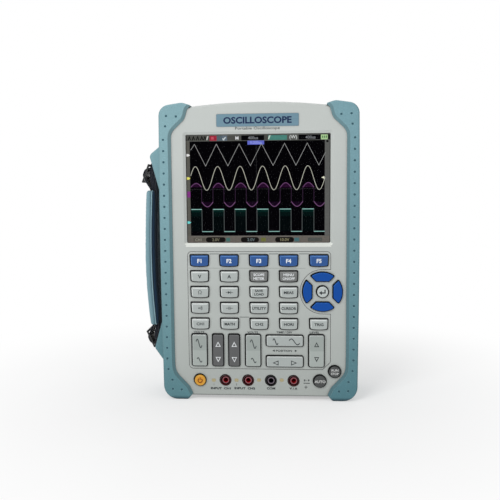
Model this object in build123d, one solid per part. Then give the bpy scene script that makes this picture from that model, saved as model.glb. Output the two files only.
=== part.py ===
from build123d import *
import math
import os

# A handheld oscilloscope with a multimeter input row: two case shells, two wrap-round side
# bumpers, a 5.7 inch display, a keypad of 37 keys, a tilt stand, a side port cover and a hand strap.
# It stands upright, front towards -Y, with z = 0 under the feet of the bumpers. It is drawn about
# the body's middle plane (x = 0, left is -X) and moved by SHIFT_X on export, so that the origin
# is the centre of the footprint with the strap included. All lengths are in mm.

os.makedirs("parts", exist_ok=True)

# ---- body -------------------------------------------------------------------
SHIFT_X = 8.5
HALF_W = 80.8            # half width over the bumpers, at the top and bottom corners
SIDE_BOW = 1.2           # the bumpers' long sides bow out towards mid height
FACE_Y = 24.0            # front and rear case faces lie at -FACE_Y and +FACE_Y
BUMP_Y = 26.0            # bumper faces, proud of the case
CASE_HALF_W = 77.3       # case half width, under the bumpers
CASE_BOTTOM = 3.1
CASE_TOP = 245.7         # crown of the arched top edge
ARCH_R = 480.0
CASE_CORNER_R = 9.0
CASE_EDGE_R = 2.0
WALL = 2.5
PANEL = 2.0              # thickness of the front panel
GAP = 0.1                # between the case and the bumpers

# ---- depths (y) of the layers behind the front panel ------------------------
PANEL_BACK = -FACE_Y + PANEL
MAT_FRONT, MAT_BACK = -19.6, -17.05
BOARD_FRONT, BOARD_BACK = -17.0, -15.4
PCB_FRONT, PCB_BACK = -7.0, -5.4

# ---- display ----------------------------------------------------------------
WIN_X, WIN_Z = -0.65, 175.9                  # centre of the opening
WIN_W, WIN_H = 117.6, 88.4
BEVEL_DEPTH, BEVEL_OVER = 1.3, 0.4           # bevel loft, below and above the front face
BEVEL_GROW = 2.86                            # growth of each side over the loft
ACTIVE_W, ACTIVE_H = 115.2, 86.4

# ---- keys -------------------------------------------------------------------
COLS = (-49.1, -24.6, -0.1, 24.3, 49.0)      # x of the key columns
FUNC_Z = 117.15
FUNC_W, FUNC_H = 16.0, 10.1                  # openings of the function keys
PLAIN_W, PLAIN_H = 15.6, 9.7                 # openings of the plain keys
KEY_GAP = 0.7                                # round a key cap
KEY_PROUD = 1.6
KEY_TRAVEL = 1.0
CAP_TOP = -FACE_Y - KEY_PROUD
FLANGE_T = 1.0
PAD_X, PAD_Z, PAD_R = 52.0, 91.5, 16.5       # arrow key cluster
PAD_FLAT = 8.3                               # cluster centre to an arrow key's flat side
PAD_DIAG = 2.9                               # sets the flat's ends in from the diagonals
PAD_PLUNGER_Z = 12.0
ROCK_W, ROCK_N, ROCK_H = 13.3, 9.8, 27.7     # wide and narrow vertical rockers
TIME_W, TIME_H = 9.9, 31.2                   # the two rockers that lie flat
ROCK_Z, TIME_X = 42.1, 20.95
ROCK_AXIS_Y = -18.4
ROCK_LIFT = 1.2                              # flange set back from the panel
ROCK_FOOT_Z = 8.5

PLAIN_ROWS = (           # z, names in column order
    (104.1, ("volts_mode", "amps_mode", "scope_meter", "menu")),
    (90.95, ("ohms_mode", "diode_mode", "save", "measure")),
    (77.75, ("beeper_mode", "capacitance_mode", "utility", "cursor")),
    (64.45, ("channel_1", "math", "channel_2", "horizontal", "trigger")),
)
ARROWS = (("up", 0), ("left", 90), ("down", 180), ("right", 270))   # name, turn in degrees
ROUND_KEYS = (           # name, x, z, opening radius, gap, cap edge radius
    ("enter", PAD_X, PAD_Z, 5.2, 0.8, 0.5),
    ("power", -50.0, 16.4, 5.25, 0.65, 0.8),
    ("auto", 50.0, 16.5, 5.55, 0.65, 0.8),
    ("run", 62.2, 24.7, 5.4, 0.65, 0.8),
)
ROCKERS = (              # name, x, z, width and height as if upright, lies flat
    ("ch1_volts", -50.05, ROCK_Z, ROCK_W, ROCK_H, False),
    ("ch1_position", -34.5, ROCK_Z, ROCK_N, ROCK_H, False),
    ("ch2_position", -21.0, ROCK_Z, ROCK_N, ROCK_H, False),
    ("ch2_volts", -5.25, ROCK_Z, ROCK_W, ROCK_H, False),
    ("level", 47.15, ROCK_Z, ROCK_W, ROCK_H, False),
    ("time", TIME_X, 50.5, TIME_W, TIME_H, True),
    ("time_position", TIME_X, 33.05, TIME_W, TIME_H, True),
)

# ---- jacks and screws -------------------------------------------------------
JACK_X = (-28.6, -9.6, 9.4, 28.3)
BLACK_JACK = 2                               # index in JACK_X
JACK_Z = 16.4
JACK_R = 4.7
JACK_FLANGE_R = 6.3
JACK_HOLE_R = 6.9                            # holes in the keypad mat and board
JACK_BORE_R, JACK_BORE_DEPTH = 2.0, 15.0
SCREWS = [(side * 67.0, z) for side in (-1, 1) for z in (44.0, 120.0, 214.0)]
DOOR_SCREWS = [(side * 33.0, z) for side in (-1, 1) for z in (48.0, 118.0)]
SCREW_R, SCREW_LEN = 1.45, 12.0
SCREW_SEAT_Y, DOOR_SEAT_Y = 5.0, 16.8        # under the screw heads

# ---- back and side features -------------------------------------------------
DOOR_Z, DOOR_SIZE, DOOR_CORNER_R = 83.0, 82.0, 3.0
DOOR_FRONT_Y, DOOR_BACK_Y = 17.0, 19.0       # its back is flush with the stand recess floor
DOOR_GAP = 0.1
STAND_AXIS_Y, STAND_AXIS_Z = 21.6, 160.0
STAND_HALF_W, STAND_HALF_T = 45.5, 2.0
STAND_PIN_R, STAND_PIN_GAP = 2.0, 0.06
BNC_X, BNC_Y, BNC_FLOOR = 22.0, 13.0, 222.0
BNC_R = 4.83
COVER_AXIS_X, COVER_AXIS_Y = 79.9, 9.0
COVER_Z0, COVER_Z1 = 148.4, 205.6
COVER_W, COVER_HALF_T, COVER_GAP = 17.6, 1.3, 0.4
PORT_CUT = (70, 90, -6.2, 3.4, 150, 204)     # side opening of both shells, as box() limits
DC_Y, DC_Z = -1.2, 157.0                     # axis of the round side port

# ---- strap ------------------------------------------------------------------
BAR_TOP = (-86.9, 200.5)                     # x, z of the bars in the two ears
BAR_BOTTOM = (-85.4, 40.2)
BAR_R = 1.8
LOOP_R = BAR_R + 0.1                         # inside radius of the webbing loops
WEB_HALF, WEB_T = 10.0, 1.2                  # webbing half width and thickness
BUCKLE_TOP = ((-92.8, 196.9), (-98.4, 181.8))     # x, z of the near end and the far end
BUCKLE_BOTTOM = ((-91.0, 40.9), (-97.4, 55.1))


# ---- helpers ----------------------------------------------------------------
def prism(sketch, y0, y1):
    """Extrude a sketch, drawn with its y as the model's z, from depth y0 to y1 (y0 < y1)."""
    return extrude(Plane.XZ.offset(-y1) * sketch, amount=y1 - y0)


def box(x0, x1, y0, y1, z0, z1):
    return Pos((x0 + x1) / 2, (y0 + y1) / 2, (z0 + z1) / 2) * Box(x1 - x0, y1 - y0, z1 - z0)


def rod_x(y, z, r, x0, x1):
    return Pos((x0 + x1) / 2, y, z) * Rot(0, 90, 0) * Cylinder(r, x1 - x0)


def rod_y(x, z, r, y0, y1):
    return Pos(x, (y0 + y1) / 2, z) * Rot(90, 0, 0) * Cylinder(r, y1 - y0)


def rod_z(x, y, r, z0, z1):
    return Pos(x, y, (z0 + z1) / 2) * Cylinder(r, z1 - z0)


def toward(start, end):
    """The unit vector from one 2-D point to another."""
    dx, dz = end[0] - start[0], end[1] - start[1]
    length = math.hypot(dx, dz)
    return dx / length, dz / length


def poly(corners):
    """A closed face from (x, z, corner radius) points."""
    bends = []           # start, middle and end of the arc at each corner
    for i, (x, z, r) in enumerate(corners):
        if r <= 0:
            bends.append(((x, z), None, (x, z)))
            continue
        back = toward((x, z), corners[i - 1])
        ahead = toward((x, z), corners[(i + 1) % len(corners)])
        half = math.acos(max(-1, min(1, back[0] * ahead[0] + back[1] * ahead[1]))) / 2
        reach = r / math.tan(half)
        inward = toward((0, 0), (back[0] + ahead[0], back[1] + ahead[1]))
        drop = r / math.sin(half) - r
        bends.append(((x + back[0] * reach, z + back[1] * reach),
                      (x + inward[0] * drop, z + inward[1] * drop),
                      (x + ahead[0] * reach, z + ahead[1] * reach)))
    edges = []
    for i, (start, middle, end) in enumerate(bends):
        last = bends[i - 1][2]
        if math.hypot(last[0] - start[0], last[1] - start[1]) > 1e-6:
            edges.append(Line(last, start))
        if middle:
            edges.append(ThreePointArc(start, middle, end))
    return make_face(edges)


def grown(corners, d):
    """The same rounded polygon (anticlockwise) with every side moved out by d."""
    out = []
    for i, (x, z, r) in enumerate(corners):
        a = toward(corners[i - 1], (x, z))
        b = toward((x, z), corners[(i + 1) % len(corners)])
        scale = d / (1 + a[0] * b[0] + a[1] * b[1])
        turn = a[0] * b[1] - a[1] * b[0]
        if r != 0:
            r += d if turn > 0 else -d
        out.append((x + (a[1] + b[1]) * scale, z - (a[0] + b[0]) * scale, r))
    return out


def rrect(x, z, w, h, r):
    return poly([(x - w / 2, z - h / 2, r), (x + w / 2, z - h / 2, r),
                 (x + w / 2, z + h / 2, r), (x - w / 2, z + h / 2, r)])


def at_y(shape, y, tol=0.02):
    """The edges that lie wholly in the plane at depth y."""
    found = ShapeList()
    for edge in shape.edges():
        bounds = edge.bounding_box()
        if abs(bounds.min.Y - y) < tol and abs(bounds.max.Y - y) < tol:
            found.append(edge)
    return found


def group(shapes):
    return Compound([solid for shape in shapes for solid in shape.solids()])


def save(name, shape):
    export_step(Pos(SHIFT_X, 0, 0) * shape, "parts/" + name + ".step")


# ---- case outline -----------------------------------------------------------
def case_outline():
    above = 260          # the arch trims the sides from here
    sketch = poly([(-CASE_HALF_W, CASE_BOTTOM, CASE_CORNER_R),
                   (CASE_HALF_W, CASE_BOTTOM, CASE_CORNER_R),
                   (CASE_HALF_W, above, 0), (-CASE_HALF_W, above, 0)])
    sketch = sketch & (Pos(0, CASE_TOP - ARCH_R) * Circle(ARCH_R))
    return fillet(sketch.vertices().filter_by(lambda v: v.Y > 200), CASE_CORNER_R)


CASE = case_outline()
CASE_INSIDE = offset(CASE, amount=-WALL, kind=Kind.INTERSECTION)
CASE_CLEARANCE = offset(CASE, amount=GAP, kind=Kind.INTERSECTION)


# ---- keys -------------------------------------------------------------------
def key_outline(w, h, taper=0.35, bow=0.5):
    """Straight top, sides that close in a little, bowed bottom."""
    x, z = w / 2, h / 2
    low_x, low_z = x - taper, -z + bow
    face = make_face([Line((-x, z), (x, z)), Line((x, z), (low_x, low_z)),
                      ThreePointArc((low_x, low_z), (0, -z), (-low_x, low_z)),
                      Line((-low_x, low_z), (-x, z))])
    face = fillet(face.vertices().filter_by(lambda v: v.Y > 0), 0.8)
    return fillet(face.vertices().filter_by(
        lambda v: v.Y < 0 and abs(v.X) > low_x - 0.01 and v.Y < low_z + 0.01), 1.3)


def arrow_outline(turn, inset=0.0):
    """One arrow key about the cluster's centre; a negative inset grows it."""
    flat = PAD_FLAT + inset
    end = flat - (PAD_DIAG + inset * 1.4142)
    far = 24             # beyond the cluster's circle
    wedge = Polyline((end, flat), (far, far + flat - end), (-far, far + flat - end),
                     (-end, flat), close=True)
    sketch = make_face(wedge) & Circle(PAD_R - inset)
    sketch = fillet(sketch.vertices(), 0.9 if inset >= 0 else 1.2)
    return Rot(0, 0, turn) * sketch


def press_key(cap_sketch, flange_sketch, plunger_sketch, edge=0.45):
    """A cap through the panel, a flange that stops it behind the panel, and a plunger."""
    flange_y = PANEL_BACK + 0.08
    cap = prism(cap_sketch, CAP_TOP, flange_y + 0.3)
    cap = fillet(at_y(cap, CAP_TOP), edge)
    flange = prism(flange_sketch, flange_y, flange_y + FLANGE_T)
    plunger = prism(plunger_sketch, flange_y + FLANGE_T - 0.1, BOARD_FRONT - KEY_TRAVEL - 0.2)
    return cap + flange + plunger


def rect_key(w, h):
    return press_key(key_outline(w - 2 * KEY_GAP, h - 2 * KEY_GAP),
                     rrect(0, 0, w + 1.6, h + 1.6, 1.0), rrect(0, 0, w - 5, h - 4.4, 0.6))


def rocker(w, h):
    """An upright rocker: cap, flange, a round fulcrum bar on the axis, two contact feet."""
    flange_y = PANEL_BACK + ROCK_LIFT
    web_y = flange_y + FLANGE_T - 0.1
    cap = prism(rrect(0, 0, w - 2 * KEY_GAP, h - 2 * KEY_GAP, 1.2), CAP_TOP, flange_y + 0.3)
    cap = fillet(at_y(cap, CAP_TOP), 0.5)
    flange = prism(rrect(0, 0, w + 1.4, h + 1.4, 1.0), flange_y, flange_y + FLANGE_T)
    web = box(-w / 2 + 2, w / 2 - 2, web_y, ROCK_AXIS_Y, -0.7, 0.7)
    bar = Pos(0, ROCK_AXIS_Y, 0) * Rot(0, 90, 0) * Cylinder(1.25, w - 3.4)
    body = cap + flange + web + bar
    for side in (-1, 1):
        z = side * ROCK_FOOT_Z
        body = body + box(-2.2, 2.2, web_y, BOARD_FRONT - 1.15, z - 2, z + 2)
    return body


def build_keys():
    """The keys by name, and the openings they need in the panel and in the mat."""
    keys, panel_openings, mat_openings = {}, [], []

    def place(name, x, z, key, opening, mat_opening):
        keys[name] = Pos(x, 0, z) * key
        panel_openings.append(Pos(x, z) * opening)
        mat_openings.append(Pos(x, z) * mat_opening)

    def place_row(names, z, w, h, key):
        for x, name in zip(COLS, names):
            place("key_" + name, x, z, key, key_outline(w, h),
                  rrect(0, 0, w - 3.6, h - 3.0, 0.8))

    place_row(("f1", "f2", "f3", "f4", "f5"), FUNC_Z, FUNC_W, FUNC_H, rect_key(FUNC_W, FUNC_H))
    plain_key = rect_key(PLAIN_W, PLAIN_H)
    for z, names in PLAIN_ROWS:
        place_row(names, z, PLAIN_W, PLAIN_H, plain_key)

    for name, turn in ARROWS:
        plunger = Rot(0, 0, turn) * rrect(0, PAD_PLUNGER_Z, 8, 3.6, 0.6)
        key = press_key(arrow_outline(turn, 0.6), arrow_outline(turn, -0.8), plunger, 0.5)
        place("key_arrow_" + name, PAD_X, PAD_Z, key, arrow_outline(turn),
              Rot(0, 0, turn) * rrect(0, PAD_PLUNGER_Z, 9.4, 5.0, 0.8))

    for name, x, z, r, gap, edge in ROUND_KEYS:
        key = press_key(Circle(r - gap), Circle(r + 0.8), Circle(r - 2.2), edge)
        place("key_" + name, x, z, key, Circle(r), Circle(r - 1.4))

    for name, x, z, w, h, flat in ROCKERS:
        key = rocker(w, h)
        if flat:
            key = Rot(0, 90, 0) * key
            w, h = h, w
        place("rocker_" + name, x, z, key, rrect(0, 0, w, h, 1.6),
              rrect(0, 0, w + 3.0, h + 3.0, 1.0))
    return keys, panel_openings, mat_openings


# ---- case shells ------------------------------------------------------------
def window_bevel():
    low = Plane.XZ.offset(FACE_Y - BEVEL_DEPTH) * rrect(
        WIN_X, WIN_Z, WIN_W - 0.02, WIN_H - 0.02, 1.0)
    high = Plane.XZ.offset(FACE_Y + BEVEL_OVER) * rrect(
        WIN_X, WIN_Z, WIN_W + 2 * BEVEL_GROW, WIN_H + 2 * BEVEL_GROW, 3.2)
    return loft([low.face(), high.face()])


def field_line():
    """The shallow line round the key field, that passes left of the arrow cluster."""
    left, right, low, high = -59.4, 58.8, 26.0, 124.9
    field = poly([(left, low, 4.0), (52.2, low, 1.5), (right, 32.6, 1.5),
                  (right, high, 3.5), (left, high, 3.5)])
    field = field - (rrect(67.0, PAD_Z, 30.0, 36.4, 0.5) + (Pos(PAD_X, PAD_Z) * Circle(18.2)))
    line = field - offset(field, amount=-0.5, kind=Kind.INTERSECTION)
    return prism(line, -FACE_Y - 1, -FACE_Y + 0.35)


def front_case(openings):
    through = (-FACE_Y - 1, PANEL_BACK + 1)
    shell = prism(CASE, -FACE_Y, 0)
    shell = fillet(at_y(shell, -FACE_Y), CASE_EDGE_R)
    shell = shell - prism(CASE_INSIDE, PANEL_BACK, 1)
    for x, z in SCREWS:
        shell = shell + rod_y(x, z, 3.2, PANEL_BACK - 0.5, 0)
    cuts = [prism(sketch, *through) for sketch in openings]
    cuts += [rod_y(x, JACK_Z, JACK_R + 0.05, *through) for x in JACK_X]
    cuts += [rod_y(x, z, 1.5, -9, 1) for x, z in SCREWS]
    cuts.append(box(*PORT_CUT))
    cuts.append(prism(rrect(WIN_X, WIN_Z, WIN_W, WIN_H, 1.0), *through))
    cuts.append(window_bevel())
    cuts.append(field_line())
    for cut in cuts:
        shell = shell - cut
    return shell


def rear_case():
    beyond = 30          # past the rear face
    shell = prism(CASE, 0, FACE_Y)
    shell = fillet(at_y(shell, FACE_Y), CASE_EDGE_R)
    shell = shell - prism(CASE_INSIDE, -1, FACE_Y - WALL)
    # the tilt stand's recess, with a round notch at its lower end
    shell = shell + box(-53, 53, 15.8, FACE_Y, 29.5, 166.5)
    shell = shell - prism(rrect(0, 98.0, 95.0, 130.0, 3.0), DOOR_BACK_Y, FACE_Y + 1)
    shell = shell - prism(Pos(0, 34.0) * Circle(11), DOOR_BACK_Y, FACE_Y + 1)
    # the battery compartment and the seat of its door
    shell = shell + box(-39, 39, -3.6, 16.0, 53, 113)
    shell = shell - box(-37, 37, -2.0, beyond, 55, 111)
    seat = DOOR_SIZE + 2 * DOOR_GAP
    shell = shell - prism(rrect(0, DOOR_Z, seat, seat, DOOR_CORNER_R + DOOR_GAP),
                          DOOR_FRONT_Y, beyond)
    for x, z in DOOR_SCREWS:
        shell = shell + rod_y(x, z, 5.6, 3.0, 16.5)
        shell = shell - rod_y(x, z, 4.2, 14.7, beyond)
        shell = shell - rod_y(x, z, 1.5, 3.8, 20)
    for x, z in SCREWS:
        shell = shell + rod_y(x, z, 4.4, 0, 22)
        shell = shell - rod_y(x, z, 3.1, SCREW_SEAT_Y, beyond)
        shell = shell - rod_y(x, z, 1.6, -1, 10)
    # blind stand bores in the recess side walls
    for x0, x1 in ((-51.6, -46.0), (46.0, 51.6)):
        shell = shell - rod_x(STAND_AXIS_Y, STAND_AXIS_Z, STAND_PIN_R + STAND_PIN_GAP, x0, x1)
    # the bay for the two BNC sockets, open to the top and the back
    shell = shell + (box(-45.5, 45.5, 0.6, FACE_Y, 219.2, 250) & prism(CASE, 0, FACE_Y))
    shell = shell - box(-42.5, 42.5, 3.2, FACE_Y + 5, BNC_FLOOR, 260)
    for side in (-1, 1):
        shell = shell - rod_z(side * BNC_X, BNC_Y, 5.6, 215, 230)
    return shell - box(*PORT_CUT)


# ---- battery, screws, stand -------------------------------------------------
def battery_door():
    door = prism(rrect(0, DOOR_Z, DOOR_SIZE, DOOR_SIZE, DOOR_CORNER_R),
                 DOOR_FRONT_Y, DOOR_BACK_Y)
    for x, z in DOOR_SCREWS:
        door = door + rod_y(x, z, 4.1, 14.8, DOOR_BACK_Y)
        door = door - rod_y(x, z, 3.0, DOOR_SEAT_Y, 20)
        door = door - rod_y(x, z, 1.6, 14, 18)
    for i in range(5):   # grip ribs
        rib = rrect(0, 100.0 - i * 3.2, 26.0, 1.2, 0.5)
        door = door + prism(rib, DOOR_BACK_Y - 0.1, DOOR_BACK_Y + 0.45)
    return door


def battery_pack():
    pack = box(-35.5, 35.5, -1.8, 15.3, 56.5, 109.5)
    return fillet(pack.edges().filter_by(Axis.X), 4.0)


def screws():
    head_t, slot_y = 2.0, 0.9
    slot_long, slot_thin = 1.7, 0.4          # half sizes of the cross slot
    screw = rod_y(0, 0, 2.75, 0, head_t)
    screw = fillet(at_y(screw, head_t), 0.8)
    screw = screw + rod_y(0, 0, SCREW_R, -SCREW_LEN, 0.2)
    for half_x, half_z in ((slot_long, slot_thin), (slot_thin, slot_long)):
        screw = screw - box(-half_x, half_x, slot_y, 3, -half_z, half_z)
    return group([Pos(x, SCREW_SEAT_Y, z) * screw for x, z in SCREWS]
                 + [Pos(x, DOOR_SEAT_Y, z) * screw for x, z in DOOR_SCREWS])


def tilt_stand():
    axis = (STAND_AXIS_Y, STAND_AXIS_Z)
    stand = box(-STAND_HALF_W, STAND_HALF_W, STAND_AXIS_Y - STAND_HALF_T,
                STAND_AXIS_Y + STAND_HALF_T, 36.0, STAND_AXIS_Z)
    stand = stand + rod_x(*axis, STAND_HALF_T, -STAND_HALF_W, STAND_HALF_W)
    stand = stand - prism(rrect(0, 103.0, 62.0, 78.0, 6.0), 10, 30)
    stand = stand + rod_x(*axis, STAND_PIN_R, -51.2, 51.2)
    stand = stand - box(-31.0, 31.0, 10, 30, STAND_AXIS_Z - 10, STAND_AXIS_Z + 10)
    corners = stand.edges().filter_by(Axis.Y).filter_by(lambda e: e.center().Z < 37)
    return fillet(corners, 5.0)


# ---- bumpers ----------------------------------------------------------------
# Outlines as x, z, corner radius, anticlockwise as seen from the front.
INNER_EDGE = [           # the left bumper's edge beside the open field, upwards
    (-59.2, 11.2, 7.0), (-71.0, 23.6, 14.0), (-71.3, 40.0, 0),
    (-71.3, 221.8, 10.0), (-60.0, 232.4, 8.0), (-57.6, 240.4, 3.0),
]
BUMPER_OUTLINE = [
    (-HALF_W, 0.0, 12.0), (-60.2, 0.0, 3.0), (-56.2, 4.8, 2.5), *INNER_EDGE,
    (-54.4, 243.5, 0.8), (-61.8, 245.8, 8.0), (-HALF_W, 243.0, 9.0),
    (-HALF_W - SIDE_BOW, 130.0, 6000.0),
]
OPEN_FIELD = [           # left half of the field between the bumpers
    (0, -20, 0), (0, 252.3, 0), (-45.3, 252.3, 0), *reversed(INNER_EDGE), (-44.6, -20.0, 0),
]
SLOPE_W, SLOPE_D = 2.3, 1.6       # the slope down to the case along the inner edge
SLOPE_OVER = 1.0                  # the slope's cutter runs on past the bumper face
DIMPLE_R, DIMPLE_LIFT = 1.2, 0.55
DIMPLES = [(-66.4, 234.6), (-74.4, 235.1), (-75.3, 226.9),            # x, z
           *[(-77.3, 216.1 - i * 9.06) for i in range(21)],
           (-76.6, 25.9), (-73.4, 16.7), (-73.1, 8.9), (-65.6, 8.5)]
EARS = (                 # outline, x and z of its bar
    ([(-78.3, 215.0, 0), (-91.5, 204.3, 4.0), (-79.5, 160.0, 0), (-78.3, 160.0, 0)], BAR_TOP),
    ([(-78.3, 78.0, 0), (-80.2, 76.0, 0), (-90.2, 41.2, 3.0), (-80.0, 26.5, 0),
      (-78.3, 26.5, 0)], BAR_BOTTOM),
)
EAR_HALF_T = 15.5


def is_outer(edge):
    c = edge.center()
    return c.X < -79.5 or c.Z < 4.5 or c.Z > 243.0


def plain_bumper():
    """The left bumper without its ears."""
    body = prism(poly(BUMPER_OUTLINE), -BUMP_Y, BUMP_Y)
    for side in (-1, 1):
        outer = ShapeList([e for e in at_y(body, side * BUMP_Y) if is_outer(e)])
        # a large radius may not fit the short arcs, so the next smaller one is tried
        for r in (1.5, 1.2, 1.0):
            try:
                body = fillet(outer, r)
                break
            except Exception:
                continue
    growth = SLOPE_W * (SLOPE_D + SLOPE_OVER) / SLOPE_D
    for side in (-1, 1):
        low = Plane.XZ.offset(-side * (BUMP_Y - SLOPE_D)) * poly(OPEN_FIELD)
        high = Plane.XZ.offset(-side * (BUMP_Y + SLOPE_OVER)) * poly(grown(OPEN_FIELD, growth))
        body = body - loft([low.face(), high.face()], ruled=True)
    body = body - prism(CASE_CLEARANCE, -FACE_Y - GAP, FACE_Y + GAP)
    for side in (-1, 1):
        y = side * (BUMP_Y + DIMPLE_LIFT)
        body = body - [Pos(x, y, z) * Sphere(DIMPLE_R) for x, z in DIMPLES]
    return body


def left_bumper(body):
    """Adds the strap ears: two cheeks each, with a round bar between them."""
    for outline, (bar_x, bar_z) in EARS:
        ear = prism(poly(outline), -EAR_HALF_T, EAR_HALF_T)
        ear = fillet(ear.edges().filter_by(
            lambda e: abs(abs(e.center().Y) - EAR_HALF_T) < 0.01 and e.center().X < -82.5), 1.4)
        ear = ear - box(-110, -82.1, -11.7, 11.7, bar_z - 60, bar_z + 60)
        body = body + ear
        body = body + rod_y(bar_x, bar_z, BAR_R, -12.5, 12.5)
    return body


def right_bumper(body):
    """Cuts the side window for the ports and the blind bores for the cover's pins."""
    body = mirror(body, about=Plane.YZ)
    body = body - box(76, 90, COVER_AXIS_Y - COVER_W - COVER_GAP, 10.6,
                      COVER_Z0 - COVER_GAP, COVER_Z1 + COVER_GAP)
    return body - rod_z(COVER_AXIS_X, COVER_AXIS_Y, 0.96, COVER_Z0 - 2.5, COVER_Z1 + 2.5)


def port_cover():
    x, y = COVER_AXIS_X, COVER_AXIS_Y
    cover = box(x - COVER_HALF_T, x + COVER_HALF_T, y - COVER_W, y, COVER_Z0, COVER_Z1)
    cover = cover + rod_z(x, y, COVER_HALF_T, COVER_Z0, COVER_Z1)
    cover = fillet(cover.edges().filter_by(
        lambda e: e.center().Y < y - 17 and e.center().X > x + 1.2), 0.8)
    cover = cover + rod_z(x, y, 0.9, COVER_Z0 - 2.2, COVER_Z1 + 2.2)
    for i in range(4):   # finger ridges
        ridge_y = -7.4 + i * 1.8
        cover = cover + box(x + 1.2, x + 1.55, ridge_y, ridge_y + 0.8, 165, 189)
    return cover


# ---- display, keypad, jacks -------------------------------------------------
def display_window():
    return prism(rrect(WIN_X, WIN_Z, 122.0, 92.0, 1.5), PANEL_BACK + 0.05, PANEL_BACK + 1.55)


def display_module():
    module = prism(rrect(WIN_X, WIN_Z + 0.3, 124.0, 99.0, 1.0), -20.3, -12.4)
    active = rrect(WIN_X, WIN_Z, ACTIVE_W + 2, ACTIVE_H + 2, 0.3)
    return module - prism(active, -21, -20.0)


def keypad_sheet():
    """The outline shared by the mat and the board, with two tabs on its right side."""
    return (rrect(0, 67.2, 125.6, 117.6, 2.0) + rrect(65.2, 91.5, 11.4, 41.0, 1.5)
            + rrect(64.5, 24.5, 11.6, 20.6, 1.5))


def jack_holes(y0, y1):
    return [rod_y(x, JACK_Z, JACK_HOLE_R, y0 - 1, y1 + 1) for x in JACK_X]


def keypad_mat(openings):
    mat = prism(keypad_sheet(), MAT_FRONT, MAT_BACK)
    mat = mat - [prism(sketch, MAT_FRONT - 1, MAT_BACK + 1) for sketch in openings]
    return mat - jack_holes(MAT_FRONT, MAT_BACK)


def keypad_board():
    board = prism(keypad_sheet(), BOARD_FRONT, BOARD_BACK)
    return board - jack_holes(BOARD_FRONT, BOARD_BACK)


def jack():
    front, recess = -FACE_Y - 0.3, -FACE_Y + 0.5
    ahead = -FACE_Y - 2
    body = rod_y(0, 0, JACK_R, front, -7.2)
    body = fillet(at_y(body, front), 0.5)
    body = body + rod_y(0, 0, JACK_FLANGE_R, PANEL_BACK + 0.05, PANEL_BACK + 1.6)
    # a ring-shaped groove, a shallow recess in the front and the bore
    body = body - (rod_y(0, 0, 3.95, ahead, -9.5) - rod_y(0, 0, 3.05, ahead - 1, -9.0))
    body = body - rod_y(0, 0, 3.5, ahead, recess)
    return body - rod_y(0, 0, JACK_BORE_R, ahead, recess + JACK_BORE_DEPTH)


# ---- electronics ------------------------------------------------------------
BOARD_BLOCKS = (         # front y, back y, centre x, centre z, width, height
    (-9.2, -6.9, 0, 150, 24, 24), (-8.6, -6.9, -36, 152, 18, 18), (-8.6, -6.9, 36, 152, 18, 14),
    (-5.5, -2.6, -48, 132, 10, 14), (-5.5, -1.0, 48, 128, 12, 12), (-5.5, -4.0, 0, 133, 28, 16),
)


def main_board():
    board = box(-73, 73, PCB_FRONT, PCB_BACK, 9, 217)
    for x, z in SCREWS:
        board = board - rod_y(x, z, 3.7, -10, 0)
    for y0, y1, x, z, w, h in BOARD_BLOCKS:
        board = board + box(x - w / 2, x + w / 2, y0, y1, z - h / 2, z + h / 2)
    return board


def shield_can(x, z, w, h, wall=0.4):
    can = box(x - w / 2, x + w / 2, PCB_BACK + 0.05, 0.6, z - h / 2, z + h / 2)
    can = fillet(can.edges().filter_by(Axis.Y), 1.0)
    return can - box(x - w / 2 + wall, x + w / 2 - wall, -6, 0.6 - wall,
                     z - h / 2 + wall, z + h / 2 - wall)


def side_ports():
    base, mouth = PCB_BACK + 0.1, 77.1       # y next to the board, x of the open ends
    usb = box(63.0, mouth, base, 1.7, 183.4, 197.0) - box(66.0, 78, -4.7, 1.1, 184.0, 196.4)
    usb = usb + box(65.5, 76.0, -0.9, 0.8, 184.8, 195.6)
    mini = box(68.5, mouth, base, -1.3, 168.1, 175.9) - box(70.5, 78, -4.8, -1.8, 168.6, 175.4)
    mini = mini + box(70.2, 76.3, -3.7, -2.9, 169.8, 174.2)
    dc = box(64.5, mouth, base, 2.9, 152.6, 161.4) - rod_x(DC_Y, DC_Z, 3.15, 67, 79)
    dc = dc + rod_x(DC_Y, DC_Z, 1.0, 66.5, 76.0)
    return group([usb, mini, dc])


def bnc_socket():
    def rod(r, z0, z1):
        """A rod on the socket's axis, with heights from the bay floor."""
        return rod_z(0, 0, r, BNC_FLOOR + z0, BNC_FLOOR + z1)

    body = rod(7.3, 0.05, 2.0) + rod(5.2, 1, 9.8)
    body = body + rod(BNC_R, 9.5, 15.0) + rod(5.5, -15.0, 1)
    body = body + rod(7.3, -5.2, -2.9) + rod(1.0, -18.5, -14.0)
    body = body + rod_x(0, BNC_FLOOR + 8.6, 1.0, -5.75, 5.75)    # bayonet lugs
    body = body - (rod(4.1, 5, 16) - rod(2.4, 4, 12.5))
    return body - rod(0.75, 6, 16)


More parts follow.
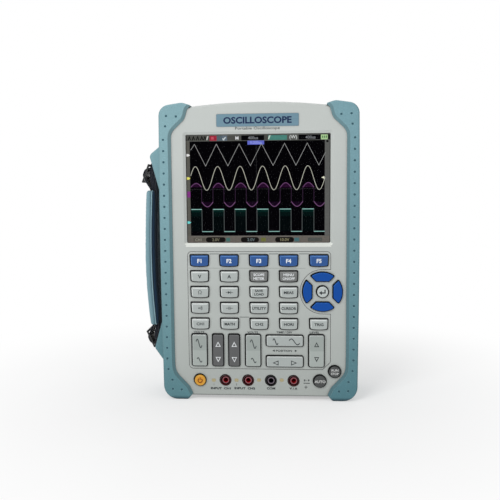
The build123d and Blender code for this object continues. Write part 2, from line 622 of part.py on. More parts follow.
# ---- hand strap -------------------------------------------------------------
WEAVE = [                # webbing through a buckle: along it, and off it away from the body
    (5.6, -2.3), (5.1, -1.4), (4.1, 0.1), (2.3, 1.5), (0, 1.75), (-2.3, 1.5), (-4.1, 0.1),
    (-5.4, -1.6), (-7.2, -3.2),
]
INNER_WEB = [            # x, z of the webbing next to the body, downwards
    (-88.6, 192.0), (-88.0, 187.0), (-87.1, 179.0), (-86.7, 169.0), (-87.4, 154.0),
    (-87.8, 142.0), (-88.0, 129.0), (-87.9, 117.0), (-87.7, 104.0), (-87.2, 91.0),
    (-86.1, 78.0), (-85.4, 66.0), (-85.6, 58.0), (-87.0, 49.0),
]
GRIP_OUTLINE = [         # x, z, corner radius
    (-92.6, 175.6, 1.4), (-95.2, 173.4, 2.0), (-96.6, 150.0, 60.0), (-97.9, 117.0, 150.0),
    (-96.9, 92.0, 60.0), (-94.6, 62.8, 2.4), (-90.0, 59.6, 1.4), (-86.2, 64.0, 3.0),
    (-88.2, 92.0, 60.0), (-88.9, 125.0, 100.0), (-88.2, 152.0, 60.0), (-87.4, 171.0, 3.0),
    (-89.4, 175.6, 1.4),
]


def band(points, thickness=WEB_T):
    """A flat band of webbing along a path in the x-z plane."""
    path = Spline(*points) if len(points) > 2 else Line(*points)
    return prism(trace(path, thickness), -WEB_HALF, WEB_HALF)


def woven(near, far):
    """The WEAVE points in x, z for a buckle drawn edge on from near to far."""
    ux, uz = toward(far, near)
    vx, vz = (-uz, ux) if uz > 0 else (uz, -ux)
    x, z = (near[0] + far[0]) / 2, (near[1] + far[1]) / 2
    return [(x + u * ux + v * vx, z + u * uz + v * vz) for u, v in WEAVE]


def strap_loop(bar, end):
    """Webbing round a bar, with a doubled tail that points to end."""
    x, z = bar
    ring = prism(Pos(x, z) * (Circle(LOOP_R + WEB_T) - Circle(LOOP_R)), -WEB_HALF, WEB_HALF)
    ux, uz = toward(bar, end)
    tail = band([(x + ux * d, z + uz * d) for d in (BAR_R + 0.6, 4.2)], 2.6)
    return ring + tail - rod_y(x, z, LOOP_R, -20, 20)


def buckle(near, far):
    """A three-bar slide buckle, drawn edge on from near to far in the x-z plane."""
    dx, dz = far[0] - near[0], far[1] - near[1]
    frame = Box(math.hypot(dx, dz), 22.6, 1.4)
    frame = frame - Pos(-4.1, 0, 0) * Box(4.2, 20.5, 4) - Pos(4.1, 0, 0) * Box(4.2, 20.5, 4)
    middle = Pos((near[0] + far[0]) / 2, 0, (near[1] + far[1]) / 2)
    return middle * Rot(0, -math.degrees(math.atan2(dz, dx)), 0) * frame


# ---- write the pieces -------------------------------------------------------
keys, panel_openings, mat_openings = build_keys()
save("front_case", front_case(panel_openings))
save("rear_case", rear_case())
save("battery_door", battery_door())
save("battery_pack", battery_pack())
save("screws", screws())
save("tilt_stand", tilt_stand())

bumper = plain_bumper()
save("left_bumper", left_bumper(bumper))
save("right_bumper", right_bumper(bumper))
save("port_cover", port_cover())

save("display_window", display_window())
save("display_module", display_module())
save("keypad_mat", keypad_mat(mat_openings))
save("keypad_board", keypad_board())
jacks = [Pos(x, 0, JACK_Z) * jack() for x in JACK_X]
save("jack_black", jacks.pop(BLACK_JACK))
save("jacks_red", group(jacks))

save("main_board", main_board())
save("shield_cans", group([shield_can(x, 192, 36, 34) for x in (-22, 22)]))
save("side_ports", side_ports())
save("bnc_sockets", group([Pos(side * BNC_X, BNC_Y, 0) * bnc_socket() for side in (-1, 1)]))
for name, key in keys.items():
    save(name, key)

save("strap_loops", group([strap_loop(BAR_TOP, (-91.6, 193.6)),
                           strap_loop(BAR_BOTTOM, (-89.9, 43.9))]))
save("strap_webbing", group([band(INNER_WEB), band(woven(*BUCKLE_TOP) + [(-92.3, 176.1)]),
                             band(woven(*BUCKLE_BOTTOM) + [(-92.6, 60.3)])]))
save("strap_grip", prism(poly(GRIP_OUTLINE), -14.0, 14.0))
save("strap_buckles", group([buckle(*BUCKLE_TOP), buckle(*BUCKLE_BOTTOM)]))
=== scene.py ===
import bpy
import bmesh
import math
import random
from mathutils import Matrix, Vector
from mathutils.bvhtree import BVHTree


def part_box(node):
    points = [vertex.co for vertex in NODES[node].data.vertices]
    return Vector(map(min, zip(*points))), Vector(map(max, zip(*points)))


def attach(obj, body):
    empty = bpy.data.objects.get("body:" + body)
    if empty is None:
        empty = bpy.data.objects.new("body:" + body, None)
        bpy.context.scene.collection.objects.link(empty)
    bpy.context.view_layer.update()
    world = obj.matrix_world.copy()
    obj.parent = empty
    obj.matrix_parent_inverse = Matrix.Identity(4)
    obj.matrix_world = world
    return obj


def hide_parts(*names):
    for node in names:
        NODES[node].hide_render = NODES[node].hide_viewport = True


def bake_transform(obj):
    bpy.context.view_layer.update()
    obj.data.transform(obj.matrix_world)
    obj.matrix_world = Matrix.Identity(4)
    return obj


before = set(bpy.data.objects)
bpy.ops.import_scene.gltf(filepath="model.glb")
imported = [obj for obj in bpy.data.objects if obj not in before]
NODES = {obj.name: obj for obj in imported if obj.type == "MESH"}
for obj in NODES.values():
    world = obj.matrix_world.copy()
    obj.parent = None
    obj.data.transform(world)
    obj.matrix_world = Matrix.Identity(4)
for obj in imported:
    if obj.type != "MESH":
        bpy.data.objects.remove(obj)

random.seed(7)
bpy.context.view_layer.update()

# The body's own middle plane, in millimetres of the row frame. All positions below are body-centred millimetres.
lo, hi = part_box("front_case")
SX = (lo.x + hi.x) / 2 * 1000.0
FACE = -24.0          # front panel face
CAP = -25.6           # key tops
MM = 0.001


def P(x, y, z):
    return Vector(((x + SX) * MM, y * MM, z * MM))


def srgb(r, g, b):
    def f(c):
        c = c / 255.0
        return c / 12.92 if c <= 0.04045 else ((c + 0.055) / 1.055) ** 2.4
    return (f(r), f(g), f(b), 1.0)


# ---------------------------------------------------------------------------
# materials
# ---------------------------------------------------------------------------
class Nodes:
    """A short way to write a node tree."""

    def __init__(self, name):
        self.mat = bpy.data.materials.new(name)
        self.mat.use_nodes = True
        self.t = self.mat.node_tree
        self.t.nodes.clear()

    def add(self, kind, props=None, **ins):
        n = self.t.nodes.new(kind)
        for k, v in (props or {}).items():
            setattr(n, k, v)
        for k, v in ins.items():
            key = int(k[1:]) if k[0] == "i" and k[1:].isdigit() else k.replace("_", " ")
            s = n.inputs[key]
            if isinstance(v, bpy.types.NodeSocket):
                self.t.links.new(v, s)
            else:
                s.default_value = v
        return n

    def math(self, op, a, b=0.0, clamp=False):
        n = self.add("ShaderNodeMath", {"operation": op, "use_clamp": clamp}, i0=a, i1=b)
        return n.outputs[0]

    def mix(self, fac, a, b, mode="MIX"):
        n = self.add("ShaderNodeMix", {"data_type": "RGBA", "blend_type": mode, "clamp_factor": True})
        for key, v in ((0, fac), (6, a), (7, b)):
            if isinstance(v, bpy.types.NodeSocket):
                self.t.links.new(v, n.inputs[key])
            else:
                n.inputs[key].default_value = v
        return n.outputs[2]

    def ramp(self, value, a, b, c=0.0, d=1.0, smooth=False):
        n = self.add("ShaderNodeMapRange", {"clamp": True, "interpolation_type": "SMOOTHSTEP" if smooth else "LINEAR"},
                     i0=value, i1=a, i2=b, i3=c, i4=d)
        return n.outputs[0]

    def noise(self, vec, scale, detail=2.0, rough=0.5):
        n = self.add("ShaderNodeTexNoise", {"noise_dimensions": "3D"}, Vector=vec, Scale=scale, Detail=detail, Roughness=rough)
        return n.outputs["Fac"]

    def coords(self):
        tc = self.add("ShaderNodeTexCoord")
        self.vec = tc.outputs["Object"]
        sep = self.add("ShaderNodeSeparateXYZ", i0=self.vec)
        self.x, self.y, self.z = sep.outputs
        self.uv = tc.outputs["UV"]
        return self.vec

    def finish(self, shader):
        out = self.add("ShaderNodeOutputMaterial")
        self.t.links.new(shader, out.inputs["Surface"])
        return self.mat


def scaled(c, k):
    return (min(1, c[0] * k), min(1, c[1] * k), min(1, c[2] * k), 1.0)


def surface(name, base, rough=0.45, vary=0.05, vary_scale=28.0, grain=1400.0, grain_mix=0.05, bump=0.25, bump_dist=0.00004,
            edge=0.0, edge_r=0.0006, edge_col=None, metallic=0.0, coat=0.0, spec=0.4, sheen=0.0, depth_shade=None, depth_shade_top=None,
            shade_gradient=None, speckle=None, inward_shade=0.0, outward_shade=0.0, occlusion_shade=None, lip=None, rim_highlight_shade=0.0):
    """Moulded or finished hard surface: broad colour drift, fine grain in colour, roughness and bump, and lighter edges
    that are partly wear and partly painted highlight; optional painted shade and painted highlight from ramps along
    axes, facing, occlusion, a lit bevel band, the shoulders and depth.
    """
    m = Nodes(name)
    vec = m.coords()
    drift = m.noise(vec, vary_scale, 4.0, 0.6)
    fine = m.noise(vec, grain, 2.0, 0.6)
    mid = m.noise(vec, grain * 0.22, 3.0, 0.6)
    c = m.mix(m.ramp(drift, 0.3, 0.7), scaled(base, 1 - vary), scaled(base, 1 + vary))
    c = m.mix(m.ramp(fine, 0.35, 0.65, 0.0, grain_mix * 2), c, scaled(base, 0.78))
    # painted shade: the colour is multiplied by ramps along the given axes, for light that falls off across the part
    if shade_gradient:
        for axis, a, b, ca, cb in shade_gradient:
            g = m.ramp(getattr(m, axis), a, b, 0.0, 1.0)
            c = m.mix(1.0, c, m.mix(g, ca, cb), "MULTIPLY")
    if inward_shade:
        # painted shade: faces that look back towards the middle are darkened as if in the shade of the rim, and faces
        # turned outward are darkened as well
        nrm = m.add("ShaderNodeSeparateXYZ", None, i0=m.add("ShaderNodeNewGeometry").outputs["Normal"]).outputs[0]
        side = m.math("SIGN", m.math("SUBTRACT", m.x, SX * MM))
        c = m.mix(m.ramp(m.math("MULTIPLY", nrm, side), -0.10, -0.45, 0.0, inward_shade), c, scaled(base, 0.35))
        c = m.mix(m.ramp(m.math("MULTIPLY", nrm, side), 0.12, 0.60, 0.0, outward_shade), c, scaled(base, 0.30))
    if speckle:
        sp = m.noise(vec, speckle[0], 1.0, 0.5)
        c = m.mix(m.ramp(sp, 0.60, 0.72, 0.0, speckle[1]), c, (1.40, 1.40, 1.40, 1.0), "MULTIPLY")
        sp2 = m.noise(vec, speckle[0] * 1.3, 1.0, 0.5)
        c = m.mix(m.ramp(sp2, 0.36, 0.26, 0.0, speckle[1]), c, (0.5, 0.5, 0.5, 1.0), "MULTIPLY")
    r = m.math("ADD", m.ramp(mid, 0.3, 0.7, rough - 0.06, rough + 0.07), m.ramp(drift, 0.3, 0.7, -0.03, 0.03))
    # lighter edges, partly wear and partly a painted highlight along the edges
    if edge > 0:
        bev = m.add("ShaderNodeBevel", {"samples": 4}, Radius=edge_r)
        geo = m.add("ShaderNodeNewGeometry")
        dot = m.add("ShaderNodeVectorMath", {"operation": "DOT_PRODUCT"}, i0=bev.outputs[0], i1=geo.outputs["Normal"]).outputs["Value"]
        e = m.ramp(dot, 0.985, 0.86, 0.0, edge)
        e = m.math("MULTIPLY", e, m.ramp(mid, 0.25, 0.6, 0.35, 1.0))
        c = m.mix(e, c, edge_col or scaled(base, 1.35))
        r = m.math("SUBTRACT", r, m.math("MULTIPLY", e, 0.12))
        if rim_highlight_shade:
            # painted highlight and painted shade on the rounded shoulder: pale where it faces up and to the left,
            # darker where it faces away
            d = m.add("ShaderNodeVectorMath", {"operation": "DOT_PRODUCT"}, i0=bev.outputs[0], i1=(-0.50, 0.0, 0.87)).outputs["Value"]
            c = m.mix(m.ramp(d, 0.10, 0.42, 0.0, rim_highlight_shade), c, edge_col or scaled(base, 1.35))
            c = m.mix(m.ramp(d, -0.15, -0.50, 0.0, rim_highlight_shade * 0.5), c, scaled(base, 0.6))
    if occlusion_shade:
        # painted shade where parts stand close together: the colour darkens with ambient occlusion
        occ = m.add("ShaderNodeAmbientOcclusion", {"samples": 6}, Distance=occlusion_shade[0]).outputs["AO"]
        c = m.mix(m.ramp(occ, occlusion_shade[1], 0.98, occlusion_shade[2], 0.0), c, scaled(base, 0.12))
    if lip:
        # painted highlight: an upward facing bevel in a band of height is made paler, as if it catches the light
        nz = m.add("ShaderNodeSeparateXYZ", None, i0=m.add("ShaderNodeNewGeometry").outputs["Normal"]).outputs[2]
        band = m.math("MULTIPLY", m.math("GREATER_THAN", m.z, lip[0] * MM), m.math("LESS_THAN", m.z, lip[1] * MM))
        c = m.mix(m.math("MULTIPLY", m.ramp(nz, 0.10, 0.30), band), c, lip[2])
    # painted shade: the colour goes to near black with depth behind the front, so gaps, key sides and opening walls
    # look shaded
    if depth_shade:
        d = m.ramp(m.y, depth_shade[0] * MM, depth_shade[1] * MM, 0.0, depth_shade[2])
        if depth_shade_top:
            d = m.math("MULTIPLY", d, m.math("LESS_THAN", m.z, depth_shade_top * MM))
        c = m.mix(d, c, (0.002, 0.002, 0.002, 1.0))
    h = m.math("ADD", m.math("MULTIPLY", fine, 0.6), m.math("MULTIPLY", mid, 0.4))
    b = m.add("ShaderNodeBump", None, Strength=bump, Distance=bump_dist, Height=h)
    p = m.add("ShaderNodeBsdfPrincipled", None, Base_Color=c, Roughness=r, Metallic=metallic, Normal=b.outputs[0])
    p.inputs["Specular IOR Level"].default_value = spec
    if coat:
        p.inputs["Coat Weight"].default_value = coat
        p.inputs["Coat Roughness"].default_value = 0.15
    if sheen:
        p.inputs["Sheen Weight"].default_value = sheen
        p.inputs["Sheen Roughness"].default_value = 0.4
    return m.finish(p.outputs[0])


def ink(name, base, rough=0.5, vary=0.08):
    """Screen print ink: slightly uneven cover and roughness."""
    m = Nodes(name)
    vec = m.coords()
    n = m.noise(vec, 900.0, 3.0, 0.6)
    c = m.mix(m.ramp(n, 0.3, 0.7), scaled(base, 1 - vary), scaled(base, 1 + vary))
    b = m.add("ShaderNodeBump", None, Strength=0.15, Distance=0.00002, Height=n)
    p = m.add("ShaderNodeBsdfPrincipled", None, Base_Color=c, Roughness=m.ramp(n, 0.3, 0.7, rough - 0.05, rough + 0.08), Normal=b.outputs[0])
    p.inputs["Specular IOR Level"].default_value = 0.3
    return m.finish(p.outputs[0])


def glow(name, base, strength=1.0, vary=0.10, scale=700.0):
    """A lit area of the display: a faint pixel grid and uneven brightness."""
    m = Nodes(name)
    vec = m.coords()
    n = m.noise(vec, scale, 2.0, 0.5)
    sx = m.math("SINE", m.math("MULTIPLY", m.x, 2 * math.pi / 0.00036))
    sz = m.math("SINE", m.math("MULTIPLY", m.z, 2 * math.pi / 0.00036))
    grid = m.ramp(m.math("MULTIPLY", sx, sz), -1.0, 1.0, 0.94, 1.06)
    k = m.math("MULTIPLY", m.ramp(n, 0.3, 0.7, 1 - vary, 1 + vary), grid)
    k = m.math("MULTIPLY", k, strength)
    p = m.add("ShaderNodeBsdfPrincipled", None, Base_Color=(0.0006, 0.0006, 0.0008, 1.0), Roughness=0.5)
    p.inputs["Specular IOR Level"].default_value = 0.0
    p.inputs["Emission Color"].default_value = base
    m.t.links.new(k, p.inputs["Emission Strength"])
    return m.finish(p.outputs[0])


def clear_lens(name):
    """Anti-glare display lens: clear, with a faint sheen and fine haze."""
    m = Nodes(name)
    vec = m.coords()
    n = m.noise(vec, 60.0, 3.0, 0.6)
    fine = m.noise(vec, 2500.0, 2.0, 0.5)
    b = m.add("ShaderNodeBump", None, Strength=0.05, Distance=0.00002, Height=fine)
    g = m.add("ShaderNodeBsdfGlossy", None, Color=(0.10, 0.105, 0.11, 1.0), Roughness=m.ramp(n, 0.3, 0.7, 0.22, 0.30), Normal=b.outputs[0])
    tr = m.add("ShaderNodeBsdfTransparent", None, Color=(0.97, 0.98, 0.98, 1.0))
    fr = m.add("ShaderNodeFresnel", None, IOR=1.25)
    k = m.math("MULTIPLY", fr.outputs[0], 0.5)
    mx = m.add("ShaderNodeMixShader", None, i0=k, i1=tr.outputs[0], i2=g.outputs[0])
    return m.finish(mx.outputs[0])


def weave(name, warp, weft, pitch=0.0009, rough=0.8, sheen=0.3, bump=0.6, depth=0.00012, along="uv", twill=1.0, edge_col=None, vary=0.08):
    """Woven cloth from the UV map, which is in metres: over and under yarns with a twill step, yarn fuzz and drift."""
    m = Nodes(name)
    vec = m.coords()
    sep = m.add("ShaderNodeSeparateXYZ", None, i0=m.uv)
    u, v = sep.outputs[0], sep.outputs[1]
    k = 2 * math.pi / pitch
    diag = m.math("ADD", m.math("MULTIPLY", u, k), m.math("MULTIPLY", v, k * twill))
    diag2 = m.math("SUBTRACT", m.math("MULTIPLY", u, k), m.math("MULTIPLY", v, k))
    a = m.math("SINE", diag)
    b = m.math("SINE", diag2)
    over = m.math("MULTIPLY", a, b)
    fuzz = m.noise(vec, 3000.0, 3.0, 0.7)
    drift = m.noise(vec, 35.0, 4.0, 0.6)
    over = m.math("ADD", over, m.ramp(fuzz, 0.2, 0.8, -0.35, 0.35))
    c = m.mix(m.ramp(over, -0.6, 0.6), weft, warp)
    c = m.mix(m.ramp(drift, 0.3, 0.7, 0.0, vary * 2), c, scaled(warp, 0.6))
    c = m.mix(m.ramp(fuzz, 0.62, 0.8, 0.0, 0.35), c, scaled(warp, 1.7))
    hb = m.math("ADD", m.math("MULTIPLY", over, 0.5), m.math("MULTIPLY", fuzz, 0.4))
    bmp = m.add("ShaderNodeBump", None, Strength=bump, Distance=depth, Height=hb)
    p = m.add("ShaderNodeBsdfPrincipled", None, Base_Color=c, Roughness=m.ramp(fuzz, 0.3, 0.7, rough - 0.08, min(1.0, rough + 0.1)), Normal=bmp.outputs[0])
    p.inputs["Specular IOR Level"].default_value = 0.2
    p.inputs["Sheen Weight"].default_value = sheen
    p.inputs["Sheen Roughness"].default_value = 0.5
    return m.finish(p.outputs[0])


W = (1.0, 1.0, 1.0, 1.0)
M = {}
# front case: painted shade darker towards the bottom, in gaps and near keys, and a painted highlight on the bevel below
# the display window
M["case"] = surface("case_grey", srgb(194, 199, 196), 0.50, vary=0.02, grain=1500, grain_mix=0.03, bump=0.30, bump_dist=0.00003,
                    edge=0.5, edge_r=0.0007, edge_col=srgb(232, 235, 232), depth_shade=(-23.9, -23.1, 0.97), depth_shade_top=125.4, occlusion_shade=(0.0026, 0.60, 0.85),
                    lip=(126.5, 133.0, srgb(229, 233, 227)),
                    shade_gradient=[("z", 0.01, 0.20, (0.83, 0.84, 0.83, 1), W)])
# painted highlight: the colour of the pale strip that stands for the lit bevel below the display window
M["case_lip"] = surface("case_grey_lip_highlight", srgb(226, 230, 224), 0.45, vary=0.02, grain=1500, grain_mix=0.03, bump=0.25, bump_dist=0.00003)
M["case_rear"] = surface("case_grey_rear", srgb(190, 194, 190), 0.52, vary=0.025, grain=1500, grain_mix=0.03, bump=0.35,
                         bump_dist=0.00004, edge=0.4, edge_r=0.0007, edge_col=srgb(225, 228, 225))
# bumpers: painted shade darker towards the bottom and to the right, nearly black along the underside, and on slopes
# facing in or out; the edges carry painted highlight and wear
M["rubber"] = surface("bumper_teal", srgb(134, 172, 180), 0.62, vary=0.04, vary_scale=20, grain=1300, grain_mix=0.10, bump=0.5,
                      bump_dist=0.00006, edge=0.35, edge_r=0.0008, edge_col=srgb(170, 208, 212), spec=0.3, speckle=(1100.0, 0.36),
                      shade_gradient=[("z", 0.0, 0.22, (0.47, 0.62, 0.64, 1), W), ("x", -0.050, 0.082, W, (0.80, 0.86, 0.89, 1)),
                                ("z", 0.0006, 0.0034, (0.16, 0.20, 0.24, 1), W)],
                      inward_shade=0.5, outward_shade=0.26)
# painted shade: the colour of the dark discs in the bumper dimples
M["dimple"] = surface("bumper_dimple", srgb(52, 92, 104), 0.7, vary=0.1, grain=1300, bump=0.3)
M["lens"] = clear_lens("display_lens")
M["panel"] = surface("display_frame", srgb(26, 27, 28), 0.5, vary=0.15, grain=1500, bump=0.2)
M["mat"] = surface("keypad_mat", srgb(22, 22, 24), 0.75, vary=0.15, grain=900, bump=0.4)
M["board"] = surface("board_green", srgb(24, 92, 52), 0.4, vary=0.15, vary_scale=120, grain=2200, bump=0.2, edge=0.4,
                     edge_r=0.0003, edge_col=srgb(190, 160, 70))
M["tin"] = surface("shield_tin", srgb(196, 198, 196), 0.32, vary=0.06, vary_scale=160, grain=1800, bump=0.3, metallic=1.0)
M["wrap"] = surface("battery_wrap", srgb(38, 92, 150), 0.42, vary=0.08, vary_scale=60, grain=900, bump=0.3)
M["stand"] = surface("stand_grey", srgb(120, 124, 124), 0.55, vary=0.04, grain=1300, bump=0.4, bump_dist=0.00005, edge=0.4,
                     edge_col=srgb(165, 168, 168))
M["metal"] = surface("connector_metal", srgb(206, 206, 202), 0.25, vary=0.05, vary_scale=200, grain=2600, bump=0.2,
                     bump_dist=0.00002, metallic=1.0, edge=0.3, edge_r=0.0003)
M["screw"] = surface("screw_steel", srgb(120, 122, 124), 0.35, vary=0.08, vary_scale=400, grain=3200, bump=0.3,
                     bump_dist=0.00002, metallic=1.0, edge=0.4, edge_r=0.0002)
M["buckle"] = surface("buckle_black", srgb(30, 31, 33), 0.38, vary=0.10, vary_scale=90, grain=1500, bump=0.3, edge=0.6,
                      edge_r=0.0005, edge_col=srgb(105, 108, 110), spec=0.5)
# keys: painted shade with depth, painted highlight and shade on the shoulders, and painted highlight on the edges
KEY_DEPTH_SHADE = (-25.05, -24.15, 0.97)
M["key_blue"] = surface("key_blue", srgb(30, 81, 147), 0.42, vary=0.04, grain=1500, bump=0.2, edge=0.8, edge_r=0.0009,
                        edge_col=srgb(88, 134, 205), rim_highlight_shade=0.60, depth_shade=KEY_DEPTH_SHADE, spec=0.45)
M["key_light"] = surface("key_light", srgb(177, 184, 182), 0.48, vary=0.03, grain=1500, bump=0.2, edge=1.0, edge_r=0.0009,
                         edge_col=srgb(238, 242, 240), rim_highlight_shade=0.75, depth_shade=KEY_DEPTH_SHADE)
# the rocker's upper half carries painted shade
M["key_rocker"] = surface("key_rocker", srgb(173, 181, 177), 0.48, vary=0.03, grain=1500, bump=0.2, edge=0.9, edge_r=0.0009,
                          edge_col=srgb(228, 233, 231), rim_highlight_shade=0.70, depth_shade=KEY_DEPTH_SHADE, shade_gradient=[("z", 0.0418, 0.0424, W, (0.86, 0.87, 0.87, 1))])
M["key_dark"] = surface("key_dark", srgb(96, 97, 98), 0.50, vary=0.05, grain=1500, bump=0.25, edge=0.5, edge_r=0.0005,
                        edge_col=srgb(140, 141, 143), rim_highlight_shade=0.50, depth_shade=KEY_DEPTH_SHADE)
M["key_arrow"] = surface("key_arrow", srgb(18, 78, 164), 0.5, vary=0.04, grain=1500, bump=0.2, edge=0.45, edge_r=0.0005,
                         edge_col=srgb(60, 118, 200), rim_highlight_shade=0.60, depth_shade=KEY_DEPTH_SHADE, spec=0.12)
M["key_mode"] = surface("key_mode", srgb(118, 120, 119), 0.50, vary=0.05, grain=1500, bump=0.25, edge=0.5, edge_r=0.0005,
                        edge_col=srgb(160, 161, 160), rim_highlight_shade=0.50, depth_shade=KEY_DEPTH_SHADE)
M["key_enter"] = surface("key_enter", srgb(194, 202, 200), 0.48, vary=0.03, grain=1500, bump=0.2, edge=0.5, edge_r=0.0005,
                         edge_col=srgb(240, 243, 241), rim_highlight_shade=0.50, depth_shade=KEY_DEPTH_SHADE)
M["key_round"] = surface("key_round", srgb(74, 76, 76), 0.50, vary=0.05, grain=1500, bump=0.25, edge=0.5, edge_r=0.0005,
                         edge_col=srgb(150, 152, 152), depth_shade=KEY_DEPTH_SHADE)
M["key_yellow"] = surface("key_yellow", srgb(224, 164, 50), 0.40, vary=0.04, grain=1500, bump=0.2, edge=0.5, edge_r=0.0006,
                          edge_col=srgb(255, 214, 120), depth_shade=KEY_DEPTH_SHADE, coat=0.3)
M["ink_white"] = ink("ink_white", srgb(236, 240, 242))
M["ink_dark"] = ink("ink_dark", srgb(52, 58, 60))
M["ink_grey"] = ink("ink_grey", srgb(80, 86, 87))
M["ink_pale"] = ink("ink_pale", srgb(206, 208, 206))
M["ink_faint"] = ink("ink_faint", srgb(166, 171, 167))
M["ink_navy"] = ink("ink_navy", srgb(12, 36, 78))
M["ink_amber"] = ink("ink_amber", srgb(226, 152, 42))
M["ink_ochre"] = ink("ink_ochre", srgb(182, 170, 132))
M["ink_rust"] = ink("ink_rust", srgb(98, 44, 2))
M["groove"] = ink("ink_line", srgb(92, 98, 98))


def plate_mat():
    """The name plate: brushed, printed metal foil, blue grey."""
    m = Nodes("name_plate")
    vec = m.coords()
    n = m.add("ShaderNodeMapping", None, Vector=vec)
    n.inputs["Scale"].default_value = (40.0, 1.0, 2600.0)
    br = m.noise(n.outputs[0], 1.0, 3.0, 0.6)
    d = m.noise(vec, 90.0, 2.0, 0.5)
    c = m.mix(m.ramp(br, 0.3, 0.7), srgb(101, 135, 154), srgb(117, 149, 167))
    c = m.mix(m.ramp(d, 0.3, 0.7, 0.0, 0.3), c, srgb(104, 144, 152))
    b = m.add("ShaderNodeBump", None, Strength=0.2, Distance=0.00002, Height=br)
    p = m.add("ShaderNodeBsdfPrincipled", None, Base_Color=c, Roughness=m.ramp(br, 0.3, 0.7, 0.40, 0.55), Metallic=0.15, Normal=b.outputs[0])
    return m.finish(p.outputs[0])


M["plate"] = plate_mat()


def jack_mat(name, outer, ring, centre, centres):
    """A shrouded test socket seen end on: dark rim, paler insulating ring, coloured throat."""
    m = Nodes(name)
    vec = m.coords()
    r = None
    for cx, cz in centres:
        dx = m.math("SUBTRACT", m.x, (cx + SX) * MM)
        dz = m.math("SUBTRACT", m.z, cz * MM)
        d = m.math("SQRT", m.math("ADD", m.math("MULTIPLY", dx, dx), m.math("MULTIPLY", dz, dz)))
        r = d if r is None else m.math("MINIMUM", r, d)
    n = m.noise(vec, 700.0, 3.0, 0.6)
    c = m.mix(m.math("LESS_THAN", r, 0.0041), scaled(outer, 0.30), outer)
    c = m.mix(m.math("MULTIPLY", m.math("LESS_THAN", r, 0.00285), m.math("LESS_THAN", m.y, -0.0225)), c, ring)
    c = m.mix(m.math("LESS_THAN", r, 0.00212), c, centre)
    c = m.mix(m.ramp(n, 0.3, 0.7, 0.0, 0.22), c, scaled(outer, 0.6))
    b = m.add("ShaderNodeBump", None, Strength=0.2, Distance=0.00003, Height=n)
    p = m.add("ShaderNodeBsdfPrincipled", None, Base_Color=c, Roughness=m.ramp(n, 0.3, 0.7, 0.32, 0.45), Normal=b.outputs[0])
    return m.finish(p.outputs[0])


JX = (-28.6, -9.6, 9.4, 28.3)
JZ = 16.4
M["jack_red"] = jack_mat("jack_red", srgb(84, 12, 18), srgb(140, 84, 92), srgb(196, 16, 34), [(JX[0], JZ), (JX[1], JZ), (JX[3], JZ)])
M["jack_black"] = jack_mat("jack_black", srgb(18, 16, 22), srgb(120, 108, 118), srgb(20, 16, 40), [(JX[2], JZ)])


# ---------------------------------------------------------------------------
# materials on the CAD nodes
# ---------------------------------------------------------------------------
def dress(node, mat):
    me = NODES[node].data
    me.materials.clear()
    me.materials.append(M[mat])


DARK_KEYS = ("rocker_ch1_position", "rocker_ch2_position")
MODE_KEYS = ("key_scope_meter", "key_menu")
ROUND_KEYS = ("key_auto", "key_run")
ARROW_KEYS = ("key_arrow_up", "key_arrow_down", "key_arrow_left", "key_arrow_right")
BLUE_KEYS = ("key_f1", "key_f2", "key_f3", "key_f4", "key_f5")
SIMPLE = {
    "front_case": "case", "rear_case": "case_rear", "left_bumper": "rubber", "right_bumper": "rubber", "display_window": "lens",
    "display_module": "panel", "keypad_mat": "mat", "keypad_board": "board", "main_board": "board", "shield_cans": "tin",
    "battery_pack": "wrap", "battery_door": "case_rear", "tilt_stand": "stand", "bnc_sockets": "metal", "jacks_red": "jack_red",
    "jack_black": "jack_black", "port_cover": "rubber", "side_ports": "metal", "screws": "screw", "strap_loops": "buckle",
    "strap_webbing": "buckle", "strap_grip": "buckle", "strap_buckles": "buckle",
}
for n in NODES:
    if n in SIMPLE:
        dress(n, SIMPLE[n])
    elif n in BLUE_KEYS:
        dress(n, "key_blue")
    elif n in DARK_KEYS:
        dress(n, "key_dark")
    elif n in ("rocker_ch1_volts", "rocker_ch2_volts", "rocker_level"):
        dress(n, "key_rocker")
    elif n in ROUND_KEYS:
        dress(n, "key_round")
    elif n in MODE_KEYS:
        dress(n, "key_mode")
    elif n == "key_enter":
        dress(n, "key_enter")
    elif n.startswith("key_arrow"):
        dress(n, "key_arrow")
    elif n == "key_power":
        dress(n, "key_yellow")
    else:
        dress(n, "key_light")


